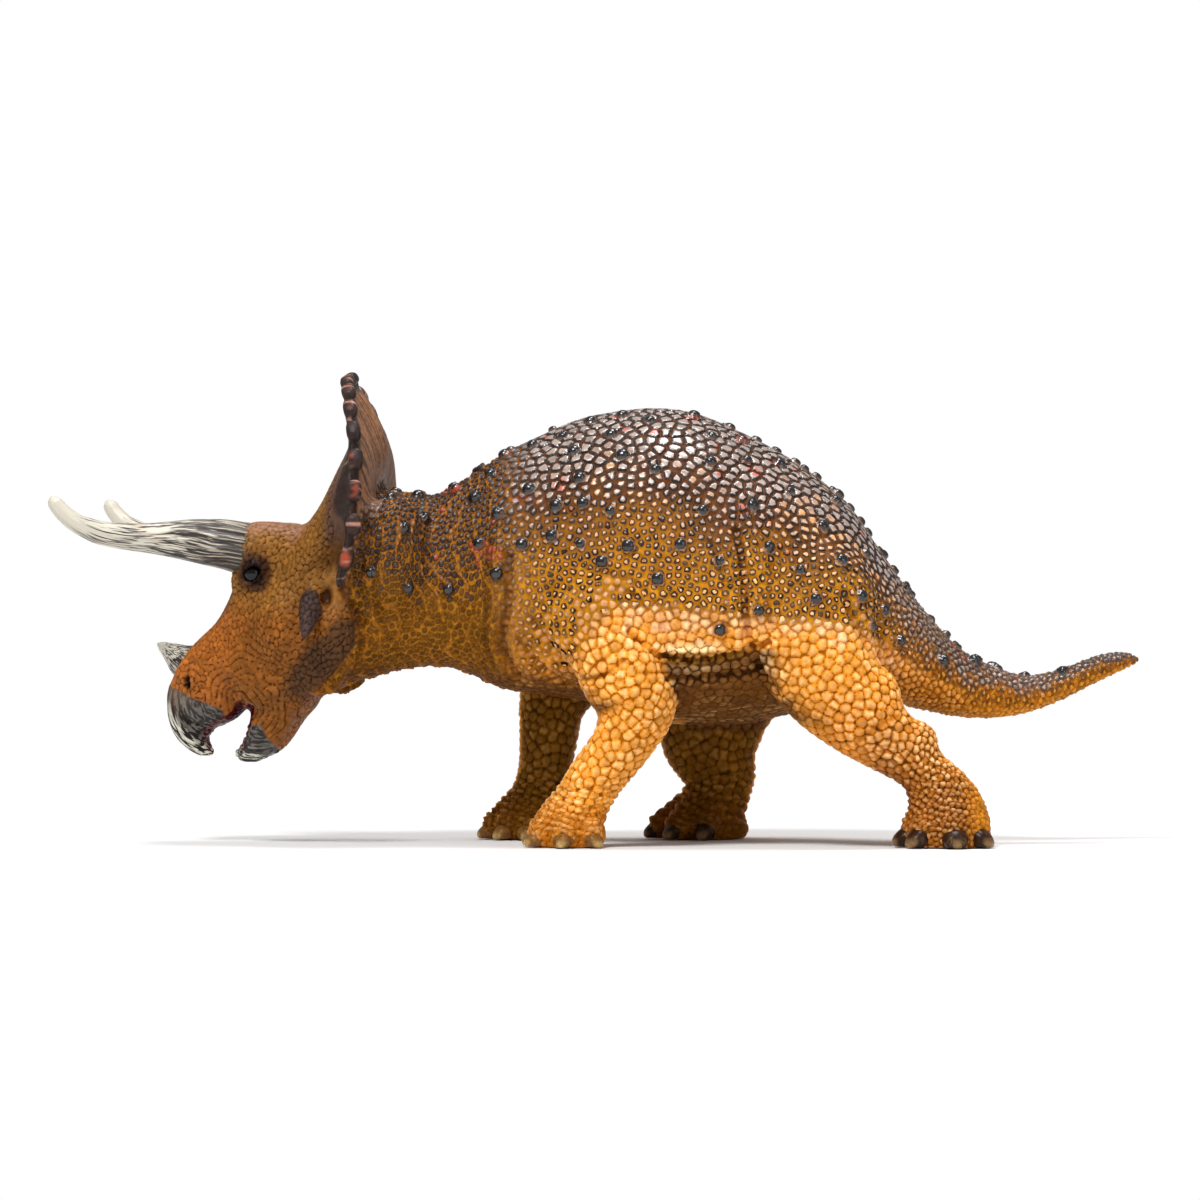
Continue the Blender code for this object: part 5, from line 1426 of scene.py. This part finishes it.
def cut_hide(mesh):
    """The hide as closed pieces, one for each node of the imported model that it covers."""
    tools = (
        ("frill", tool(*outward(*frill_form(swell=2.6)))),
        ("lower_jaw", tool(*head_prism(JAW_CUT, 40))),
        ("head", tool(*head_prism(HEAD_CUT, 60))),
        ("front_leg_left", limb_tool(FRONT_LEFT_CUT, LEFT, (36.0, 57.1))),
        ("front_leg_right", limb_tool(FRONT_RIGHT_CUT, RIGHT, (36.0, 57.1))),
        ("hind_leg_left", limb_tool(HIND_LEFT_CUT, LEFT, (32.0, 63.3))),
        ("hind_leg_right", limb_tool(HIND_RIGHT_CUT, RIGHT, (32.0, 63.3))),
        ("tail", tool(*prism(((TAIL_START, -5), (180, -5), (180, 90), (TAIL_START, 90)), -40, 60, axis=1))),
        ("torso_left_shell", tool(*prism(((-60, -60), (180, -60), (180, 0), (-60, 0)), -10, 120, axis=2))),
    )
    pieces = {}
    for node, cutter in tools:
        pieces[node] = combined(mesh, cutter, "INTERSECT")
        mesh = combined(mesh, cutter, "DIFFERENCE")
        bpy.data.objects.remove(cutter)
    pieces["torso_right_shell"] = mesh
    for piece in pieces.values():
        mend_paint(piece)
    return pieces


def finished(name, mesh, material, nodes):
    """Links a finished piece, and says what it rides on, replaces and takes its finish from."""
    piece = bpy.data.objects.new(name, mesh)
    bpy.context.scene.collection.objects.link(piece)
    mesh.materials.clear()
    mesh.materials.append(material)
    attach(piece, BODY)
    if nodes:
        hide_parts(*nodes)
    return piece


def link(tree, source, output, target, entry):
    """Joins two shader nodes."""
    tree.links.new(source.outputs[output], target.inputs[entry])


def plain_material(name, colour, roughness):
    """A new material and its Principled shader."""
    material = bpy.data.materials.new(name)
    material.use_nodes = True
    shader = material.node_tree.nodes["Principled BSDF"]
    shader.inputs["Base Color"].default_value = (*colour, 1)
    shader.inputs["Roughness"].default_value = roughness
    return material, material.node_tree, shader


def ranged(tree, source, low, high, to_low=0.0, to_high=1.0):
    """A smooth step of a value from one range to another; the value is a socket."""
    span = tree.nodes.new("ShaderNodeMapRange")
    span.interpolation_type = "SMOOTHSTEP"
    for entry, value in zip(("From Min", "From Max", "To Min", "To Max"), (low, high, to_low, to_high)):
        span.inputs[entry].default_value = value
    tree.links.new(source, span.inputs["Value"])
    return span.outputs["Result"]


def sum_of(tree, operation, first, second):
    """The sum or product of a socket and another socket or a number."""
    node = tree.nodes.new("ShaderNodeMath")
    node.operation = operation
    tree.links.new(first, node.inputs[0])
    if isinstance(second, float):
        node.inputs[1].default_value = second
    else:
        tree.links.new(second, node.inputs[1])
    return node.outputs[0]


def colour_mix(tree, share, first, second):
    """A blend of two colours, each a socket or a plain colour."""
    node = tree.nodes.new("ShaderNodeMix")
    node.data_type = "RGBA"
    tree.links.new(share, node.inputs[0])
    for entry, value in ((6, first), (7, second)):
        if isinstance(value, tuple):
            node.inputs[entry].default_value = (*value, 1)
        else:
            tree.links.new(value, node.inputs[entry])
    return node.outputs[2]


def stored(tree, name, output):
    """A layer that the skin carries, as a socket."""
    node = tree.nodes.new("ShaderNodeAttribute")
    node.attribute_name = name
    return node.outputs[output]


def noise(tree, scale, detail, place=None):
    """Noise from 0 to 1 as a socket, in the object's own space or in that of another socket."""
    node = tree.nodes.new("ShaderNodeTexNoise")
    node.inputs["Scale"].default_value = scale
    node.inputs["Detail"].default_value = detail
    if place is None:
        place = tree.nodes.new("ShaderNodeTexCoord").outputs["Object"]
    tree.links.new(place, node.inputs["Vector"])
    return node.outputs["Fac"]


def hide_material():
    """Painted soft plastic: scales over valleys, with a broken dark rim round each scale, then mottled.

    The skin carries how far each point is inside its scale, so that these edges are drawn sharper than
    its points lie.
    """
    material, tree, shader = plain_material("painted hide", (0.4, 0.18, 0.05), 0.4)
    cell = stored(tree, "cell", "Fac")
    scale = ranged(tree, cell, -0.06, 0.08)
    colour = colour_mix(tree, scale, stored(tree, "wash", "Color"), stored(tree, "paint", "Color"))
    uneven = sum_of(tree, "ADD", cell, sum_of(tree, "MULTIPLY", noise(tree, 1300, 2), 0.9))
    ring = sum_of(tree, "MULTIPLY", ranged(tree, cell, -0.04, 0.03), ranged(tree, uneven, 0.70, 0.87, 1.0, 0.0))
    ring = sum_of(tree, "MULTIPLY", ring, stored(tree, "rim", "Fac"))
    colour = colour_mix(tree, ring, colour, PAINTS["ring"])
    grain = ranged(tree, noise(tree, 1.9, 2, stored(tree, "flow", "Vector")), 0.48, 0.56)
    grain = sum_of(tree, "MULTIPLY", grain, stored(tree, "cream", "Fac"))
    colour = colour_mix(tree, grain, colour, PAINTS["beak_edge"])
    mottle = ranged(tree, noise(tree, 900, 4), 0.25, 0.75, 0.72, 1.28)
    blend = tree.nodes.new("ShaderNodeVectorMath")
    blend.operation = "SCALE"
    tree.links.new(colour, blend.inputs[0])
    tree.links.new(mottle, blend.inputs["Scale"])
    link(tree, blend, "Vector", shader, "Base Color")
    polish = sum_of(tree, "MULTIPLY", stored(tree, "polish", "Fac"), ranged(tree, cell, -0.02, 0.25))
    tree.links.new(ranged(tree, polish, 0.0, 1.0, 0.46, 0.20), shader.inputs["Roughness"])
    tree.links.new(ranged(tree, polish, 0.0, 1.0, 0.04, 0.75), shader.inputs["Specular IOR Level"])
    bump = tree.nodes.new("ShaderNodeBump")
    bump.inputs["Strength"].default_value = 0.5
    bump.inputs["Distance"].default_value = 0.00008
    tree.links.new(noise(tree, 2400, 3), bump.inputs["Height"])
    link(tree, bump, "Normal", shader, "Normal")
    return material


def horn_material():
    """Ivory with thin dark streaks, dense at the root and none at the tip."""
    material, tree, shader = plain_material("streaked horn", (0.5, 0.45, 0.35), 0.42)
    place = stored(tree, "flow", "Vector")
    amount = stored(tree, "streak", "Fac")
    fine = sum_of(tree, "ADD", noise(tree, 5.6, 2, place), sum_of(tree, "MULTIPLY", amount, 0.14))
    dark = sum_of(tree, "MULTIPLY", ranged(tree, fine, 0.54, 0.62), ranged(tree, amount, 0.0, 0.15))
    colour = colour_mix(tree, dark, stored(tree, "paint", "Color"), (0.022, 0.015, 0.012))
    tree.links.new(colour, shader.inputs["Base Color"])
    bump = tree.nodes.new("ShaderNodeBump")
    bump.inputs["Strength"].default_value = 0.6
    bump.inputs["Distance"].default_value = 0.00025
    bump.invert = True
    tree.links.new(dark, bump.inputs["Height"])
    link(tree, bump, "Normal", shader, "Normal")
    return material


def paint_material(name, roughness):
    """A painted part: the paint it carries, mottled."""
    material, tree, shader = plain_material(name, (0.5, 0.45, 0.35), roughness)
    shader.inputs["Specular IOR Level"].default_value = 0.15
    mottle = ranged(tree, noise(tree, 1400, 3), 0.25, 0.75, 0.75, 1.25)
    blend = tree.nodes.new("ShaderNodeVectorMath")
    blend.operation = "SCALE"
    tree.links.new(stored(tree, "paint", "Color"), blend.inputs[0])
    tree.links.new(mottle, blend.inputs["Scale"])
    link(tree, blend, "Vector", shader, "Base Color")
    return material


def attribute(mesh, name, width, values):
    """Stores whole arrays on the points of a mesh, with so many numbers to a point."""
    kind, key = LAYER_KINDS[width]
    layer = mesh.attributes.new(name, kind, "POINT")
    layer.data.foreach_set(key, np.ascontiguousarray(values, np.float32).ravel())


def hide_mesh(settings):
    """The skin as one Blender mesh in metres, with its layers; the mark is the alpha of its paint."""
    points, quads, layers = hide_surface(settings)
    mesh = mesh_from("hide", place(points), quads)
    mark = np.full((len(points), 1), SKIN_MARK)
    for name, width in HIDE_LAYERS:
        values = np.hstack((np.clip(layers[name], 0.0005, 1), mark)) if width == 4 else layers[name]
        attribute(mesh, name, width, values)
    return mesh


class DinosaurSettings(bpy.types.PropertyGroup):
    """Sizes and colours of the figure that a user would change."""

    scale_size: FloatProperty(name="Scale size", description="Average width of a scale, mm", default=2.0)
    scale_depth: FloatProperty(name="Scale depth", description="Depth of the grooves between scales, mm", default=0.34)
    knob_gap: FloatProperty(name="Knob gap", description="Distance between the black knobs, mm", default=6.9)
    horn_colour: FloatVectorProperty(
        name="Horn", description="Ivory of the horns", subtype="COLOR", default=(0.55, 0.51, 0.42)
    )
    floor_colour: FloatVectorProperty(
        name="Floor", description="Colour of the floor", subtype="COLOR", default=(0.80, 0.80, 0.80)
    )


class DINOSAUR_OT_hide(bpy.types.Operator):
    """Model the scaly hide and cut it into the figure's pieces"""

    bl_idname = "dinosaur.hide"
    bl_label = "Hide"

    def execute(self, context):
        settings = context.scene.dinosaur
        material = hide_material()
        for node, mesh in cut_hide(hide_mesh(settings)).items():
            finished("hide_" + node, mesh, material, (node,))
        return {"FINISHED"}


class DINOSAUR_OT_horns(bpy.types.Operator):
    """Model the two brow horns and the nose horn"""

    bl_idname = "dinosaur.horns"
    bl_label = "Horns"

    def execute(self, context):
        settings = context.scene.dinosaur
        material = horn_material()
        for side, name, reach in ((1, "left", 1.0), (-1, "right", RIGHT_HORN_REACH)):
            rows = np.array(BROW_HORN)
            rows[:, 1] *= side
            rows[:, 0] = np.where(rows[:, 0] > 25, 25 + (rows[:, 0] - 25) * reach, rows[:, 0])
            mesh = horn_mesh("brow_" + name, rows, settings, 5 + side)
            finished("brow_horn_hide_" + name, mesh, material, ("brow_horn_" + name,))
        mesh = horn_mesh("nose", NOSE_HORN, settings, 9)
        finished("nose_horn_hide", mesh, material, ("nose_horn",))
        return {"FINISHED"}


class DINOSAUR_OT_eyes(bpy.types.Operator):
    """Set the glossy eyes"""

    bl_idname = "dinosaur.eyes"
    bl_label = "Eyes"

    def execute(self, context):
        material, _, shader = plain_material("eye bead", (0.004, 0.003, 0.003), 0.12)
        shader.inputs["Specular IOR Level"].default_value = 0.3
        for side, name in ((1, "left"), (-1, "right")):
            mesh = eye_mesh("eye_" + name, side)
            finished("eye_bead_" + name, mesh, material, ("eye_" + name,))
        return {"FINISHED"}


class DINOSAUR_OT_claws(bpy.types.Operator):
    """Model the claws of the four feet"""

    bl_idname = "dinosaur.claws"
    bl_label = "Claws"

    def execute(self, context):
        material = paint_material("claw horn", 0.3)
        for foot in FEET:
            colours = CLAW_PAINTS["hind" if "hind" in foot else "front"]
            mesh = claw_mesh("claws_" + foot, foot, colours)
            finished("claws_" + foot, mesh, material, ())
        return {"FINISHED"}


class DINOSAUR_OT_stage(bpy.types.Operator):
    """Set the floor, the light and the camera"""

    bl_idname = "dinosaur.stage"
    bl_label = "Stage"

    def execute(self, context):
        settings = context.scene.dinosaur
        make_stage(context.scene, settings)
        return {"FINISHED"}


CAMERA_DISTANCE, CAMERA_HEIGHT, CAMERA_ALONG = 1.1, 0.0484, 0.0012
PHOTO_WIDTH = 0.240
SENSOR = 36.0


def floor_material(settings):
    """A pale floor that takes the soft shadow and runs out to white where no shadow falls."""
    material, tree, shader = plain_material("pale floor", settings.floor_colour, 0.9)
    nodes = tree.nodes
    where = nodes.new("ShaderNodeTexCoord")
    reach = nodes.new("ShaderNodeVectorMath")
    reach.operation = "LENGTH"
    link(tree, where, "Object", reach, 0)
    far = nodes.new("ShaderNodeMapRange")
    far.inputs["From Min"].default_value = 0.16
    far.inputs["From Max"].default_value = 0.34
    link(tree, reach, "Value", far, "Value")
    glow = nodes.new("ShaderNodeEmission")
    glow.inputs["Strength"].default_value = 1.0
    clear = nodes.new("ShaderNodeMixShader")
    link(tree, far, "Result", clear, 0)
    tree.links.new(shader.outputs[0], clear.inputs[1])
    tree.links.new(glow.outputs[0], clear.inputs[2])
    rays = nodes.new("ShaderNodeLightPath")
    seen = nodes.new("ShaderNodeMixShader")
    link(tree, rays, "Is Camera Ray", seen, 0)
    tree.links.new(shader.outputs[0], seen.inputs[1])
    tree.links.new(clear.outputs[0], seen.inputs[2])
    tree.links.new(seen.outputs[0], nodes["Material Output"].inputs["Surface"])
    return material


def make_stage(scene, settings):
    """A pale floor, a soft key light with fill, and the photograph's level side view."""
    scene.view_settings.view_transform = "Standard"
    camera_data = bpy.data.cameras.new("camera")
    camera_data.sensor_width = SENSOR
    camera_data.lens = SENSOR * CAMERA_DISTANCE / PHOTO_WIDTH
    camera = bpy.data.objects.new("camera", camera_data)
    camera.location = (CAMERA_ALONG, -CAMERA_DISTANCE, CAMERA_HEIGHT)
    camera.rotation_euler = (math.pi / 2, 0, 0)
    scene.collection.objects.link(camera)
    scene.camera = camera

    half = 3.0
    points = np.array(((-half, -half, 0), (half, -half, 0), (half, half, 0), (-half, half, 0)))
    floor_mesh = mesh_from("floor", points - (0, 0, 0.0002), np.array(((0, 1, 2, 3),)))
    material = floor_material(settings)
    floor = bpy.data.objects.new("floor", floor_mesh)
    floor_mesh.materials.append(material)
    scene.collection.objects.link(floor)

    world = bpy.data.worlds.new("studio")
    scene.world = world
    world.use_nodes = True
    nodes = world.node_tree.nodes
    background = nodes["Background"]
    rays = nodes.new("ShaderNodeLightPath")
    plain = nodes.new("ShaderNodeBackground")
    plain.inputs["Color"].default_value = (1, 1, 1, 1)
    background.inputs["Color"].default_value = (1, 1, 1, 1)
    background.inputs["Strength"].default_value = 0.34
    choose = nodes.new("ShaderNodeMixShader")
    tree = world.node_tree
    tree.links.new(rays.outputs["Is Camera Ray"], choose.inputs[0])
    tree.links.new(background.outputs[0], choose.inputs[1])
    tree.links.new(plain.outputs[0], choose.inputs[2])
    tree.links.new(choose.outputs[0], nodes["World Output"].inputs["Surface"])

    lights = (
        ("key", (-0.30, -0.60, 0.95), 11.0, 0.30),
        ("fill", (0.75, -0.70, 0.40), 2.0, 0.5),
        ("top", (0.10, 0.10, 1.05), 7.0, 0.35),
    )
    for name, spot, power, size in lights:
        data = bpy.data.lights.new(name, "AREA")
        data.energy = power
        data.size = size
        lamp = bpy.data.objects.new(name, data)
        lamp.location = spot
        lamp.rotation_euler = (Vector((0, 0, 0.045)) - Vector(spot)).to_track_quat("-Z", "Y").to_euler()
        scene.collection.objects.link(lamp)


OPERATORS = (
    DINOSAUR_OT_hide,
    DINOSAUR_OT_horns,
    DINOSAUR_OT_eyes,
    DINOSAUR_OT_claws,
    DINOSAUR_OT_stage,
)


class DINOSAUR_PT_panel(bpy.types.Panel):
    """The steps that make the figure"""

    bl_idname = "DINOSAUR_PT_panel"
    bl_label = "Toy horned dinosaur"
    bl_space_type = "VIEW_3D"
    bl_region_type = "UI"
    bl_category = "Dinosaur"

    def draw(self, context):
        settings = context.scene.dinosaur
        for name in DinosaurSettings.__annotations__:
            self.layout.prop(settings, name)
        for operator in OPERATORS:
            self.layout.operator(operator.bl_idname)


CLASSES = (DinosaurSettings, *OPERATORS, DINOSAUR_PT_panel)


def register():
    """Registers the settings, the operators and the panel."""
    for item in CLASSES:
        bpy.utils.register_class(item)
    bpy.types.Scene.dinosaur = PointerProperty(type=DinosaurSettings)


def unregister():
    """Takes them out again."""
    del bpy.types.Scene.dinosaur
    for item in reversed(CLASSES):
        bpy.utils.unregister_class(item)


def main():
    """Makes every piece and the stage."""
    register()
    bpy.ops.dinosaur.hide()
    bpy.ops.dinosaur.horns()
    bpy.ops.dinosaur.eyes()
    bpy.ops.dinosaur.claws()
    bpy.ops.dinosaur.stage()


if __name__ == "__main__":
    main()
